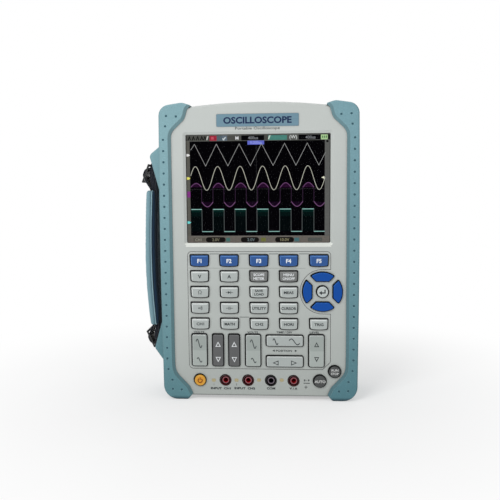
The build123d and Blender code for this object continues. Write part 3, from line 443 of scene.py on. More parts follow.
# ---------------------------------------------------------------------------
# printed parts: thin closed solids lying on a face, gathered into one object per body
# ---------------------------------------------------------------------------
class Sheet:
    def __init__(self, name, body, slot):
        self.name, self.body, self.slot = name, body, slot
        self.bm = bmesh.new()
        self.mats = []

    def _mi(self, mat):
        if mat not in self.mats:
            self.mats.append(mat)
        return self.mats.index(mat)

    def face(self, vs, mi):
        try:
            f = self.bm.faces.new(vs)
            f.material_index = mi
        except ValueError:
            pass

    def prism(self, pts, y0, y1, mat):
        """A polygon of (x, z) points from depth y0 (front) to y1."""
        area = sum(pts[i][0] * pts[(i + 1) % len(pts)][1] - pts[(i + 1) % len(pts)][0] * pts[i][1] for i in range(len(pts)))
        if area < 0:
            pts = pts[::-1]
        mi = self._mi(mat)
        a = [self.bm.verts.new(P(x, y0, z)) for x, z in pts]
        b = [self.bm.verts.new(P(x, y1, z)) for x, z in pts]
        self.face(a, mi)
        self.face(b[::-1], mi)
        n = len(pts)
        for i in range(n):
            j = (i + 1) % n
            self.face([a[j], a[i], b[i], b[j]], mi)

    def ribbon(self, pts, w, y0, y1, mat, closed=False):
        """A line of width w along (x, z) points, as a thin closed solid."""
        mi = self._mi(mat)
        n = len(pts)
        L, R = [], []
        for i in range(n):
            p = pts[i]
            q0 = pts[i - 1] if (i > 0 or closed) else None
            q1 = pts[(i + 1) % n] if (i < n - 1 or closed) else None
            d0 = (p[0] - q0[0], p[1] - q0[1]) if q0 else None
            d1 = (q1[0] - p[0], q1[1] - p[1]) if q1 else None
            d0, d1 = d0 or d1, d1 or d0
            l0, l1 = math.hypot(*d0) or 1e-9, math.hypot(*d1) or 1e-9
            n0, n1 = (-d0[1] / l0, d0[0] / l0), (-d1[1] / l1, d1[0] / l1)
            m = (n0[0] + n1[0], n0[1] + n1[1])
            k = 1 + n0[0] * n1[0] + n0[1] * n1[1]
            k = max(k, 0.35)
            m = (m[0] / k * w / 2, m[1] / k * w / 2)
            L.append((p[0] + m[0], p[1] + m[1]))
            R.append((p[0] - m[0], p[1] - m[1]))
        la = [self.bm.verts.new(P(x, y0, z)) for x, z in L]
        ra = [self.bm.verts.new(P(x, y0, z)) for x, z in R]
        lb = [self.bm.verts.new(P(x, y1, z)) for x, z in L]
        rb = [self.bm.verts.new(P(x, y1, z)) for x, z in R]
        for i in range(n if closed else n - 1):
            j = (i + 1) % n
            self.face([ra[i], ra[j], la[j], la[i]], mi)
            self.face([lb[i], lb[j], rb[j], rb[i]], mi)
            self.face([la[i], la[j], lb[j], lb[i]], mi)
            self.face([rb[i], rb[j], ra[j], ra[i]], mi)
        if not closed:
            self.face([la[0], lb[0], rb[0], ra[0]], mi)
            self.face([ra[-1], rb[-1], lb[-1], la[-1]], mi)

    def disc(self, x, z, r, y0, y1, mat, n=28):
        self.prism([(x + r * math.cos(i * 2 * math.pi / n), z + r * math.sin(i * 2 * math.pi / n)) for i in range(n)], y0, y1, mat)

    def rect(self, x0, x1, z0, z1, y0, y1, mat, r=0.0):
        if r <= 0:
            pts = [(x0, z0), (x1, z0), (x1, z1), (x0, z1)]
        else:
            pts = []
            for cx, cz, a0 in ((x1 - r, z0 + r, -90), (x1 - r, z1 - r, 0), (x0 + r, z1 - r, 90), (x0 + r, z0 + r, 180)):
                for k in range(5):
                    a = math.radians(a0 + k * 22.5)
                    pts.append((cx + r * math.cos(a), cz + r * math.sin(a)))
        self.prism(pts, y0, y1, mat)

    def text(self, s, x, z, size, y0, y1, mat, bold=0.0, stretch=1.0, gap=1.0, shear=0.0):
        """Lettering centred at (x, z); size is the letter height in millimetres."""
        cu = bpy.data.curves.new("lettering", "FONT")
        cu.body = s
        cu.size = size / 0.73
        cu.align_x = "CENTER"
        cu.align_y = "CENTER"
        cu.space_character = gap
        cu.shear = shear
        cu.offset = bold
        cu.extrude = abs(y1 - y0) / 2
        cu.resolution_u = 3
        ob = bpy.data.objects.new("lettering", cu)
        bpy.context.scene.collection.objects.link(ob)
        dg = bpy.context.evaluated_depsgraph_get()
        me = bpy.data.meshes.new_from_object(ob.evaluated_get(dg))
        bpy.data.objects.remove(ob)
        xs = [v.co.x for v in me.vertices]
        ys = [v.co.y for v in me.vertices]
        if not xs:
            return
        cx, cy = (min(xs) + max(xs)) / 2, (min(ys) + max(ys)) / 2
        mi = self._mi(mat)
        tb = bmesh.new()
        tb.from_mesh(me)
        bpy.data.meshes.remove(me)
        bmesh.ops.remove_doubles(tb, verts=tb.verts, dist=1e-5)
        ym = (y0 + y1) / 2
        vm = {}
        for v in tb.verts:
            vm[v] = self.bm.verts.new(P(x + (v.co.x - cx) * stretch, ym - v.co.z, z + (v.co.y - cy)))
        for f in tb.faces:
            self.face([vm[v] for v in f.verts], mi)
        tb.free()

    def done(self):
        bmesh.ops.recalc_face_normals(self.bm, faces=self.bm.faces)
        me = bpy.data.meshes.new(self.name)
        self.bm.to_mesh(me)
        self.bm.free()
        for mt in self.mats:
            me.materials.append(mt)
        ob = bpy.data.objects.new(self.name, me)
        bpy.context.scene.collection.objects.link(ob)
        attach(ob, self.body)
        return ob


def squiggle(x, z, w, h, n=24, flip=1):
    """One period of a sine drawn as on the keys: up, steeply down, up again."""
    out = []
    for i in range(n + 1):
        t = i / n
        out.append((x - w / 2 + w * t, z + flip * h / 2 * math.sin(math.pi * (0.14 + 1.72 * t))))
    return out


def tri(x, z, w, h, way):
    if way == "up":
        return [(x - w / 2, z - h / 2), (x + w / 2, z - h / 2), (x, z + h / 2)]
    if way == "down":
        return [(x - w / 2, z + h / 2), (x, z - h / 2), (x + w / 2, z + h / 2)]
    if way == "left":
        return [(x + w / 2, z - h / 2), (x + w / 2, z + h / 2), (x - w / 2, z)]
    return [(x - w / 2, z - h / 2), (x + w / 2, z), (x - w / 2, z + h / 2)]


T0, T1 = CAP - 0.05, CAP + 0.10      # depth span of a print on a key top
INK_W, INK_D = M["ink_white"], M["ink_dark"]
COLS = (-49.1, -24.6, -0.1, 24.3, 49.0)
ROWS = (117.15, 104.1, 90.95, 77.75, 64.45)


def top_outline(node):
    """The outline of a key's flat top as (x, z) points, anticlockwise."""
    pts = sorted({(round(v.co.x / MM - SX, 4), round(v.co.z / MM, 4)) for v in NODES[node].data.vertices if abs(v.co.y / MM - CAP) < 0.02})

    def half(seq):
        out = []
        for q in seq:
            while len(out) > 1 and (out[-1][0] - out[-2][0]) * (q[1] - out[-2][1]) - (out[-1][1] - out[-2][1]) * (q[0] - out[-2][0]) <= 1e-6:
                out.pop()
            out.append(q)
        return out[:-1]
    return half(pts) + half(pts[::-1])


def shoulder_line(s, node, mat, top=0.62, left=0.34):
    """The pale line of light along the upper and left shoulders of a key."""
    h = top_outline(node)
    x0, x1 = min(q[0] for q in h), max(q[0] for q in h)
    z0, z1 = min(q[1] for q in h), max(q[1] for q in h)
    n = len(h)
    for lo, hi, w in ((0.93, 1.01, top), (-0.1, 0.35, left)):
        run = []
        for i in range(2 * n):
            a, c = h[i % n], h[(i + 1) % n]
            L = math.hypot(c[0] - a[0], c[1] - a[1])
            if L < 1e-6:
                continue
            nx, nz = (c[1] - a[1]) / L, -(c[0] - a[0]) / L
            ok = nz > 0.93 if w == top else nx < -0.93
            if ok:
                m_ = 0.16 + w / 2
                seg = [(a[0] - nx * m_, a[1] - nz * m_), (c[0] - nx * m_, c[1] - nz * m_)]
                run = run + seg[1:] if run and i > 0 else run + seg
            elif run:
                break
        if len(run) > 1:
            (ax, az), (cx_, cz_) = run[0], run[-1]
            L = math.hypot(cx_ - ax, cz_ - az)
            if L > 2.0:
                ux, uz = (cx_ - ax) / L, (cz_ - az) / L
                s.ribbon([(ax + ux * 0.35, az + uz * 0.35), (cx_ - ux * 0.35, cz_ - uz * 0.35)], w, T0 + 0.015, T1, mat)


# painted highlights: pale lines along the upper and left shoulders of the keys, made with the print ink shader
SHOULDER_HIGHLIGHT_PALE, SHOULDER_HIGHLIGHT_BLUE, SHOULDER_HIGHLIGHT_GREY = ink("painted_highlight_pale", srgb(226, 232, 230)), ink("painted_highlight_blue", srgb(84, 132, 196)), ink("painted_highlight_grey", srgb(146, 148, 147))


def key_print(node, draw, slot="legend_ink"):
    s = Sheet("legend_" + node, node, None)
    draw(s)
    # besides the legend, most keys also get painted highlight lines along their shoulders
    if node in BLUE_KEYS:
        shoulder_line(s, node, SHOULDER_HIGHLIGHT_BLUE, 0.5, 0.3)
    elif node in MODE_KEYS:
        shoulder_line(s, node, SHOULDER_HIGHLIGHT_GREY, 0.5, 0.3)
    elif node not in ROUND_KEYS and node not in ARROW_KEYS and node not in ("key_enter", "key_power"):
        shoulder_line(s, node, SHOULDER_HIGHLIGHT_PALE)
    return s.done()


for i in range(5):
    key_print("key_f%d" % (i + 1), lambda s, i=i: s.text("F%d" % (i + 1), COLS[i], ROWS[0] - 0.1, 3.3, T0, T1, INK_W, bold=0.15, stretch=1.0))


def word(node, text, cx, cz, size=2.1, mat=None, bold=0.09, gap=1.0, stretch=1.0):
    key_print(node, lambda s: s.text(text, cx, cz, size, T0, T1, mat or INK_D, bold=bold, gap=gap, stretch=stretch))


word("key_volts_mode", "V", COLS[0], ROWS[1], 2.9, bold=0.13)
word("key_amps_mode", "A", COLS[1], ROWS[1], 2.9, bold=0.13)
key_print("key_scope_meter", lambda s: (s.text("SCOPE", COLS[2], ROWS[1] + 1.6, 2.1, T0, T1, INK_W, bold=0.06, stretch=1.05),
                                        s.text("METER", COLS[2], ROWS[1] - 1.6, 2.1, T0, T1, INK_W, bold=0.06, stretch=1.05)))
key_print("key_menu", lambda s: (s.text("MENU", COLS[3], ROWS[1] + 1.6, 2.1, T0, T1, INK_W, bold=0.06, stretch=1.1),
                                 s.text("ON/OFF", COLS[3], ROWS[1] - 1.6, 2.1, T0, T1, INK_W, bold=0.06, stretch=0.95)))


def ohm(s):
    x, z = COLS[0], ROWS[2]
    pts = []
    for k in range(25):
        a = math.radians(-58 + k * (296 / 24))
        pts.append((x + 1.25 * math.cos(a), z + 0.25 + 1.25 * math.sin(a)))
    pts = [(x + 1.45, z - 1.35), (x + 0.62, z - 1.35)] + pts + [(x - 0.62, z - 1.35), (x - 1.45, z - 1.35)]
    s.ribbon(pts, 0.40, T0, T1, INK_D)


key_print("key_ohms_mode", ohm)


def diode(s):
    x, z = COLS[1], ROWS[2]
    s.ribbon([(x - 3.0, z), (x - 1.2, z)], 0.35, T0, T1, INK_D)
    s.prism(tri(x - 0.1, z, 2.2, 2.4, "right"), T0, T1, INK_D)
    s.ribbon([(x + 1.15, z - 1.3), (x + 1.15, z + 1.3)], 0.40, T0, T1, INK_D)
    s.ribbon([(x + 1.35, z), (x + 3.0, z)], 0.35, T0, T1, INK_D)


key_print("key_diode_mode", diode)


def beeper(s):
    x, z = COLS[0], ROWS[3]
    s.disc(x - 0.9, z, 0.62, T0, T1, INK_D, 16)
    for r in (1.3, 2.0, 2.7):
        s.ribbon([(x - 0.9 + r * math.cos(math.radians(a)), z + r * math.sin(math.radians(a))) for a in range(-38, 39, 19)], 0.36, T0, T1, INK_D)


key_print("key_beeper_mode", beeper)


def capacitor(s):
    x, z = COLS[1], ROWS[3]
    s.ribbon([(x - 2.8, z), (x - 0.55, z)], 0.35, T0, T1, INK_D)
    s.ribbon([(x - 0.5, z - 1.4), (x - 0.5, z + 1.4)], 0.42, T0, T1, INK_D)
    s.ribbon([(x + 0.5, z - 1.4), (x + 0.5, z + 1.4)], 0.42, T0, T1, INK_D)
    s.ribbon([(x + 0.55, z), (x + 2.8, z)], 0.35, T0, T1, INK_D)


key_print("key_capacitance_mode", capacitor)
key_print("key_save", lambda s: (s.text("SAVE", COLS[2], ROWS[2] + 1.45, 1.95, T0, T1, INK_D, bold=0.09, stretch=1.1),
                                 s.text("LOAD", COLS[2], ROWS[2] - 1.45, 1.95, T0, T1, INK_D, bold=0.09, stretch=1.1)))
word("key_measure", "MEAS", COLS[3], ROWS[2], 2.2, stretch=1.12)
word("key_utility", "UTILITY", COLS[2], ROWS[3], 2.2, stretch=1.1)
word("key_cursor", "CURSOR", COLS[3], ROWS[3], 2.2, stretch=1.05)
word("key_channel_1", "CH1", COLS[0], ROWS[4], 2.3, stretch=1.15)
word("key_math", "MATH", COLS[1], ROWS[4], 2.2, bold=0.13, stretch=1.05)
word("key_channel_2", "CH2", COLS[2], ROWS[4], 2.3, stretch=1.15)
word("key_horizontal", "HORI", COLS[3], ROWS[4], 2.2, bold=0.11, stretch=1.15)
word("key_trigger", "TRIG", COLS[4], ROWS[4], 2.2, bold=0.11, stretch=1.15)


def enter(s):
    x, z = 52.0, 91.5
    s.ribbon([(x + 1.9, z + 2.1), (x + 1.9, z - 0.7), (x - 0.8, z - 0.7)], 1.0, T0, T1, INK_D)
    s.prism([(x - 0.7, z - 2.4), (x - 0.7, z + 1.0), (x - 3.0, z - 0.7)], T0, T1, INK_D)


key_print("key_enter", enter)


def power(s):
    x, z = -50.0, 16.4
    mt = M["ink_rust"]
    s.disc(x, z, 3.0, T0 + 0.02, T1, M["ink_amber"])
    pts = [(x + 1.75 * math.cos(math.radians(a)), z - 0.1 + 1.75 * math.sin(math.radians(a))) for a in range(125, 416, 12)]
    s.ribbon(pts, 0.7, T0, T1, mt)
    s.ribbon([(x, z + 0.4), (x, z + 2.5)], 0.7, T0, T1, mt)


key_print("key_power", power)
key_print("key_auto", lambda s: s.text("AUTO", 50.0, 16.5, 2.2, T0, T1, M["ink_pale"], bold=0.10, stretch=1.05))
key_print("key_run", lambda s: (s.text("RUN", 62.2, 26.2, 1.9, T0, T1, M["ink_pale"], bold=0.08, stretch=1.1),
                                s.text("STOP", 62.2, 23.3, 1.9, T0, T1, M["ink_pale"], bold=0.08, stretch=1.0)))

# rockers: the cap's front surface is found by looking at the CAD node itself
bvh = {}


def front_of(node, x, z):
    """Depth of the node's front surface at (x, z), in millimetres."""
    if node not in bvh:
        me = NODES[node].data
        bvh[node] = BVHTree.FromPolygons([v.co.copy() for v in me.vertices], [tuple(p.vertices) for p in me.polygons])
    hit = bvh[node].ray_cast(P(x, -60, z), Vector((0, 1, 0)))
    return hit[0].y / MM if hit[0] is not None else CAP


def drape(s, node):
    """Moves the sheet's vertices so that the print follows the node's front surface."""
    for v in s.bm.verts:
        x, y, z = v.co.x / MM - SX, v.co.y / MM, v.co.z / MM
        f = front_of(node, x, z)
        v.co.y = (f + (y - CAP)) * MM


def rocker_print(node, draw):
    s = Sheet("legend_" + node, node, None)
    draw(s)
    drape(s, node)
    return s.done()


rocker_print("rocker_ch1_volts", lambda s: (s.ribbon(squiggle(-50.5, 47.9, 4.9, 7.2), 0.80, T0, T1, M["ink_grey"]),
                                            s.ribbon(squiggle(-50.2, 33.9, 4.1, 3.8), 0.76, T0, T1, M["ink_grey"])))
rocker_print("rocker_ch2_volts", lambda s: (s.ribbon(squiggle(-5.2, 47.7, 4.9, 7.2), 0.80, T0, T1, M["ink_grey"]),
                                            s.ribbon(squiggle(-4.9, 33.9, 4.1, 3.8), 0.76, T0, T1, M["ink_grey"])))
for node, cx in (("rocker_ch1_position", -34.5), ("rocker_ch2_position", -21.0)):
    rocker_print(node, lambda s, cx=cx: (s.ribbon(tri(cx, 47.3, 3.6, 3.5, "up"), 0.52, T0, T1, INK_W, closed=True),
                                         s.ribbon(tri(cx, 34.5, 3.6, 3.5, "down"), 0.52, T0, T1, INK_W, closed=True)))
rocker_print("rocker_level", lambda s: (s.ribbon(tri(47.15, 47.6, 3.2, 3.2, "up"), 0.6, T0, T1, INK_D, closed=True),
                                        s.ribbon(tri(47.15, 35.3, 3.2, 3.2, "down"), 0.6, T0, T1, INK_D, closed=True)))
rocker_print("rocker_time", lambda s: (s.ribbon(squiggle(13.3, 49.9, 4.2, 5.0), 0.74, T0, T1, INK_D),
                                       s.ribbon(squiggle(28.9, 49.9, 8.8, 4.9, 32), 0.74, T0, T1, INK_D)))
rocker_print("rocker_time_position", lambda s: (s.ribbon(tri(13.4, 32.0, 4.0, 3.4, "left"), 0.6, T0, T1, INK_D, closed=True),
                                                s.ribbon(tri(28.4, 32.1, 4.0, 3.4, "right"), 0.6, T0, T1, INK_D, closed=True)))

# prints on the front panel, and a painted highlight strip below the display window
F0, F1 = FACE - 0.04, FACE + 0.10
s = Sheet("front_panel_print_and_highlight", "housing", None)
G = M["ink_dark"]
GG = M["ink_grey"]
# painted highlight: a pale strip standing for the lit bevel below the display window
s.rect(-60.4, 59.1, 128.5, 129.55, F0, F1, M["case_lip"], r=0.45)
s.text("VOLTS", -50.6, 57.25, 1.6, F0, F1, G, bold=0.04, stretch=1.35)
s.text("VOLTS", -5.7, 57.3, 1.6, F0, F1, G, bold=0.04, stretch=1.35)
s.text("TIME / DIV", 20.5, 57.5, 1.6, F0, F1, G, bold=0.04, stretch=1.3)
s.text("LEVEL", 45.6, 57.5, 1.6, F0, F1, G, bold=0.04, stretch=1.45)
s.text("POSITION", 20.2, 41.9, 1.7, F0, F1, G, bold=0.04, stretch=1.3)
s.prism(tri(11.6, 41.95, 1.9, 1.9, "left"), F0, F1, G)
s.prism(tri(30.2, 41.95, 1.9, 1.9, "right"), F0, F1, G)
s.ribbon([(-16.4, 70.1), (-8.4, 70.1)], 0.40, F0, F1, GG)
s.ribbon([(-58.6, 110.9), (38.0, 110.9)], 0.30, F0, F1, M["ink_faint"])
for i in range(4):
    a, b = COLS[i] + 8.4, COLS[i + 1] - 8.4
    s.ribbon([(a, 122.75), (b, 122.75)], 0.42, F0, F1, GG)
for xa, xb, za, label in ((-40.6, -25.0, 9.55, "INPUT  CH1"), (-20.7, -4.6, 9.8, "INPUT  CH2")):
    mid = (xa + xb) / 2
    s.text(label, mid, za - 0.2, 1.7, F0, F1, G, bold=0.10, stretch=1.40)
s.text("COM", 9.3, 9.8, 1.8, F0, F1, G, bold=0.09, stretch=1.25)
s.text("V / A", 28.0, 9.9, 1.8, F0, F1, G, bold=0.09, stretch=1.2)
s.text("1", -38.6, 12.6, 1.5, F0, F1, GG)
s.text("2", -19.6, 12.8, 1.5, F0, F1, GG)
s.text("0 - 9", 39.0, 17.0, 1.5, F0, F1, G, bold=0.08, stretch=1.2)
s.ribbon([(36.4, 14.6), (41.6, 14.6)], 0.55, F0, F1, G)
s.ribbon([(38.4, 12.6), (38.4, 9.9)], 0.4, F0, F1, G)
s.ribbon([(37.1, 11.3), (39.7, 11.3)], 0.4, F0, F1, G)
for x, z in ((-38.7, 16.3), (-19.5, 16.5), (-0.7, 16.8), (18.3, 17.0)):
    s.rect(x - 1.7, x + 1.7, z - 1.4, z + 1.4, F0, F1, M["ink_ochre"], r=1.2)
s.text("Portable Oscilloscope", -0.6, 224.3, 2.2, F0, F1, M["ink_dark"], stretch=1.36)
s.done()



def openings():
    """The outlines of the openings in the front panel's face, as loops of (x, z) points."""
    b = bmesh.new()
    b.from_mesh(NODES["front_case"].data)
    bmesh.ops.remove_doubles(b, verts=b.verts, dist=2e-6)
    link = {}
    for e in b.edges:
        if len(e.link_faces) != 2 or any(abs(v.co.y / MM - FACE) > 0.02 for v in e.verts):
            continue
        n = sorted(abs(f.normal.y) for f in e.link_faces)
        if n[0] < 0.3 and n[1] > 0.95:
            a, c = e.verts
            link.setdefault(a.index, []).append(c.index)
            link.setdefault(c.index, []).append(a.index)
    co = {v.index: (v.co.x / MM - SX, v.co.z / MM) for v in b.verts if v.index in link}
    b.free()
    loops, seen = [], set()
    for start in sorted(link):
        if start in seen or len(link[start]) != 2:
            continue
        loop_, cur, prev = [start], link[start][0], start
        seen.add(start)
        while cur != start and cur not in seen and len(link.get(cur, ())) == 2:
            loop_.append(cur)
            seen.add(cur)
            nx = [k for k in link[cur] if k != prev]
            prev, cur = cur, nx[0] if nx else start
        if cur == start and len(loop_) > 3:
            loops.append([co[k] for k in loop_])
    return loops


# painted shadow: dark lines round the key openings on the face, wider on the upper and left sides
s = Sheet("key_opening_shadow_lines", "housing", "mat_black")
for pts in openings():
    xs, zs = [p[0] for p in pts], [p[1] for p in pts]
    if max(zs) > 124.0 or max(xs) - min(xs) > 40 or max(xs) - min(xs) < 6.5:
        continue
    area_ = sum(pts[i][0] * pts[(i + 1) % len(pts)][1] - pts[(i + 1) % len(pts)][0] * pts[i][1] for i in range(len(pts)))
    if area_ < 0:
        pts = pts[::-1]
    mi = s._mi(M["mat"])
    n = len(pts)
    rows = []
    for i in range(n):
        a, p_, c = pts[i - 1], pts[i], pts[(i + 1) % n]
        d0, d1 = (p_[0] - a[0], p_[1] - a[1]), (c[0] - p_[0], c[1] - p_[1])
        l0, l1 = math.hypot(*d0), math.hypot(*d1)
        nx = d0[1] / l0 + d1[1] / l1
        nz = -d0[0] / l0 - d1[0] / l1
        L = math.hypot(nx, nz) or 1e-9
        nx, nz = nx / L, nz / L
        # the painted shadow widens where the edge faces up and to the left
        w = 0.10 + 0.52 * max(0.0, (-nx * 0.75 + nz * 0.66))
        rows.append((p_, (p_[0] + nx * w, p_[1] + nz * w)))
    quad = [[s.bm.verts.new(P(q[0], y, q[1])) for q in (r[0], r[1]) for y in (F0 + 0.01, F1)] for r in rows]
    for i in range(n):
        a, c = quad[i], quad[(i + 1) % n]
        s.face([a[0], c[0], c[2], a[2]], mi)
        s.face([a[1], a[3], c[3], c[1]], mi)
        s.face([a[2], c[2], c[3], a[3]], mi)
        s.face([a[0], a[1], c[1], c[0]], mi)
s.done()

s = Sheet("name_plate", "housing", None)
s.rect(-33.7, 32.6, 226.1, 236.0, FACE - 0.25, FACE + 0.15, M["plate"], r=0.6)
s.text("OSCILLOSCOPE", -0.6, 231.0, 5.2, FACE - 0.31, FACE - 0.2, M["ink_navy"], bold=0.24, stretch=1.10)
s.done()

# ---------------------------------------------------------------------------
# what the display shows: thin lit pieces on the panel, behind the lens
# ---------------------------------------------------------------------------
def lit(r, g, b, k=1.0, **kw):
    key = "lit_%d_%d_%d" % (r, g, b)
    if key not in M:
        M[key] = glow(key, srgb(r, g, b), k, **kw)
    return M[key]


EYE = None


def scr(u, v):
    """Place on the display, from shares of its opening (u from the left, v from the top)."""
    return (-59.45 + u * 117.6 - 0.28, 220.1 - v * 88.4 - 0.36)


S0 = -20.02
s = Sheet("display_picture", "housing", None)


def srect(u0, u1, v0, v1, layer, mat, r=0.0):
    x0, z1 = scr(u0, v0)
    x1, z0 = scr(u1, v1)
    s.rect(x0, x1, z0, z1, S0 - 0.035 * layer, S0 - 0.035 * (layer - 1) , mat, r)


def sline(pts, w, layer, mat, closed=False):
    s.ribbon([scr(u, v) for u, v in pts], w, S0 - 0.035 * layer, S0 - 0.035 * (layer - 1), mat, closed)


def U(cx):
    return (cx - 15.0) / 1505.0


def V(cy):
    return (cy - 100.0) / 1135.0


srect(U(16), U(1519), V(101), V(1234), 1, lit(28, 28, 28))
srect(U(18), U(56), V(163), V(1234), 2, lit(92, 90, 84))
srect(U(1466), U(1518), V(163), V(1234), 2, lit(94, 94, 92))
srect(U(18), U(1518), V(1160), V(1234), 2, lit(104, 98, 92))
srect(U(56), U(1465), V(163), V(1162), 2, lit(2, 1, 3))
for a, b in ((214, 424), (586, 778), (948, 1146)):
    srect(U(a), U(b), V(1172), V(1226), 3, lit(22, 20, 18), r=2.0)
for a, b, c in ((430, 472, (70, 110, 104)), (800, 850, (110, 112, 60)), (1150, 1200, (70, 108, 112)), (80, 210, (88, 84, 76)), (1290, 1440, (82, 84, 80))):
    srect(U(a), U(b), V(1178), V(1218), 3, lit(*c))
# top bar
srect(U(24), U(600), V(104), V(160), 2, lit(78, 78, 74))
srect(U(600), U(838), V(106), V(158), 2, lit(6, 6, 8))
srect(U(838), U(880), V(104), V(160), 2, lit(74, 74, 70))
srect(U(1075), U(1195), V(104), V(160), 2, lit(84, 86, 82))
srect(U(1195), U(1425), V(106), V(158), 2, lit(6, 6, 8))
for a in (40, 84, 128, 172, 205):
    sline([(U(a), V(152)), (U(a + 14), V(114)), (U(a + 26), V(150))], 0.9, 4, lit(16, 18, 16))
sline([(U(238), V(150)), (U(246), V(118)), (U(256), V(116))], 0.9, 4, lit(206, 206, 200))
srect(U(268), U(342), V(106), V(159), 3, lit(158, 44, 62))
srect(U(284), U(310), V(120), V(146), 4, lit(196, 86, 100))
srect(U(342), U(398), V(106), V(159), 3, lit(84, 98, 106))
srect(U(398), U(452), V(106), V(159), 3, lit(98, 110, 122))
sline([(U(404), V(136)), (U(416), V(150)), (U(426), V(132)), (U(440), V(126))], 0.9, 4, lit(200, 208, 210))
srect(U(880), U(1075), V(108), V(158), 3, lit(76, 132, 122))
sline([(U(884), V(150)), (U(894), V(116)), (U(904), V(112))], 0.9, 4, lit(206, 222, 210))
srect(U(1425), U(1496), V(108), V(158), 3, lit(172, 204, 150), r=0.5)
for a in (1442, 1462, 1482):
    srect(U(a - 5), U(a + 5), V(120), V(142), 4, lit(66, 110, 66))
srect(U(664), U(838), V(162), V(203), 4, lit(98, 106, 200))
srect(U(18), U(1518), V(100), V(105), 3, lit(112, 112, 108))
srect(U(18), U(1518), V(159), V(163), 3, lit(104, 104, 100))
srect(U(56), U(1465), V(1157), V(1161), 3, lit(128, 124, 118))
for tx, tz, t, sz, c in ((U(555), V(133), "M", 2.8, (226, 226, 228)), (U(722), V(133), "400us", 2.5, (128, 130, 134)),
                         (U(1140), V(133), "(W)", 2.8, (214, 216, 214)), (U(1318), V(133), "400us", 2.5, (128, 130, 134)),
                         (U(320), V(1199), "2.0V", 2.5, (124, 120, 100)), (U(695), V(1199), "2.0V", 2.5, (104, 116, 118)),
                         (U(1050), V(1199), "10.0V", 2.5, (138, 132, 104)), (U(135), V(1199), "CH1", 2.3, (142, 138, 128)),
                         (U(752), V(181), "0.000us", 2.2, (150, 158, 232))):
    x, z = scr(tx, tz)
    s.text(t, x, z, sz, S0 - 0.035 * 6, S0 - 0.035 * 3, lit(*c), bold=0.05)

# graticule
for k in range(1, 12):
    if k == 6:
        continue
    u = U(55 + (1465 - 55) * k / 12.0)
    for j in range(0, 41):
        if j % 5 == 0:
            v = V(165 + (1160 - 165) * j / 40.0)
            srect(u - 0.0016, u + 0.0016, v - 0.0022, v + 0.0022, 3, lit(44, 44, 46))
for j in range(0, 64):
    v = V(165 + (1160 - 165) * (j + 0.5) / 64.0)
    srect(U(755) - 0.0012, U(755) + 0.0012, v - 0.0030, v + 0.0030, 3, lit(70, 70, 72))
for j in range(0, 84):
    u = U(55 + (1465 - 55) * (j + 0.5) / 84.0)
    srect(u - 0.0024, u + 0.0024, V(665) - 0.0016, V(665) + 0.0016, 3, lit(70, 70, 72))


def U(cx):
    return (cx - 15.0 + shift) / 1505.0


def V(cy):
    return (cy - 100.0 - 9.0 * max(0.0, min(1.0, (900 - cy) / 500.0))) / 1135.0


# triangle wave
shift = 10.0
pk = [97, 328, 567, 800, 1040, 1275]
pts = [(U(57), V(262))]
for i, x in enumerate(pk):
    pts.append((U(x), V(202)))
    nx = (pk[i + 1] if i < 5 else 1512)
    pts.append((U((x + nx) / 2), V(430)))
pts[-1] = (U(1395), V(430))
pts.append((U(1463), V(300)))
sline(pts, 0.32, 5, lit(164, 164, 163))
# sine wave, thicker
shift = 6.0
pts = []
P0, PER = 107.0, 235.6
for i in range(0, 241):
    x = 57 + (1463 - 57) * i / 240.0
    pts.append((U(x), V(557 - 122 * math.cos(2 * math.pi * (x - P0) / PER))))
sline(pts, 0.43, 6, lit(196, 195, 180))
# purple channel: dim trace with a glow under the lower lobes
GLOW = lit(34, 12, 38)
for i in range(6):
    a = 170 + 235.6 * i
    b = a + 120
    lobe = [(U(a + (b - a) * k / 14.0), V(800 + 50 * math.sin(math.pi * k / 14.0))) for k in range(15) if a + (b - a) * k / 14.0 < 1462]
    if len(lobe) > 3:
        sline(lobe, 0.62, 4, lit(114, 76, 116))
        s.prism([scr(u, v) for u, v in lobe], S0 - 0.10, S0 - 0.07, lit(22, 5, 26))
    a2, b2 = b, a + 235.6
    top = [(U(a2 + (b2 - a2) * k / 14.0), V(655 - 48 * math.sin(math.pi * k / 14.0))) for k in range(15) if a2 + (b2 - a2) * k / 14.0 < 1462]
    if len(top) > 3:
        sline(top, 0.62, 4, lit(106, 66, 108))
        s.prism([scr(u, v) for u, v in top], S0 - 0.10, S0 - 0.07, lit(38, 10, 40))
    for xx in (a, b):
        if xx < 1460:
            sline([(U(xx), V(660)), (U(xx), V(800))], 0.36, 4, lit(62, 42, 66))
first = [(U(57 + (170 - 57) * k / 14.0), V(655 - 48 * math.sin(math.pi * (k + 1) / 16.0))) for k in range(15)]
sline(first, 0.62, 4, lit(106, 66, 108))
s.prism([scr(u, v) for u, v in first], S0 - 0.10, S0 - 0.07, lit(38, 10, 40))
shift = 4.0
# square wave: bright highs, dim edges, a dark teal haze below the highs
highs = ((60, 172), (290, 407), (522, 640), (755, 875), (992, 1112), (1227, 1350))
for a, b in highs:
    srect(U(a), U(b), V(884), V(906), 3, lit(3, 34, 30))
    srect(U(a), U(b), V(906), V(950), 3, lit(2, 18, 17))
    srect(U(a), U(b), V(950), V(1110), 3, lit(1, 6, 7))
    sline([(U(a), V(877)), (U(b), V(877))], 0.66, 6, lit(144, 192, 184))
for i, (a, b) in enumerate(highs):
    nxt = highs[i + 1][0] if i < 5 else 1463
    sline([(U(b), V(1112)), (U(nxt), V(1112))], 0.62, 6, lit(140, 184, 178))
    sline([(U(b), V(880)), (U(b), V(1112))], 0.34, 5, lit(98, 104, 104))
    if i < 5:
        sline([(U(nxt), V(880)), (U(nxt), V(1112))], 0.34, 5, lit(98, 104, 104))
shift = 0.0
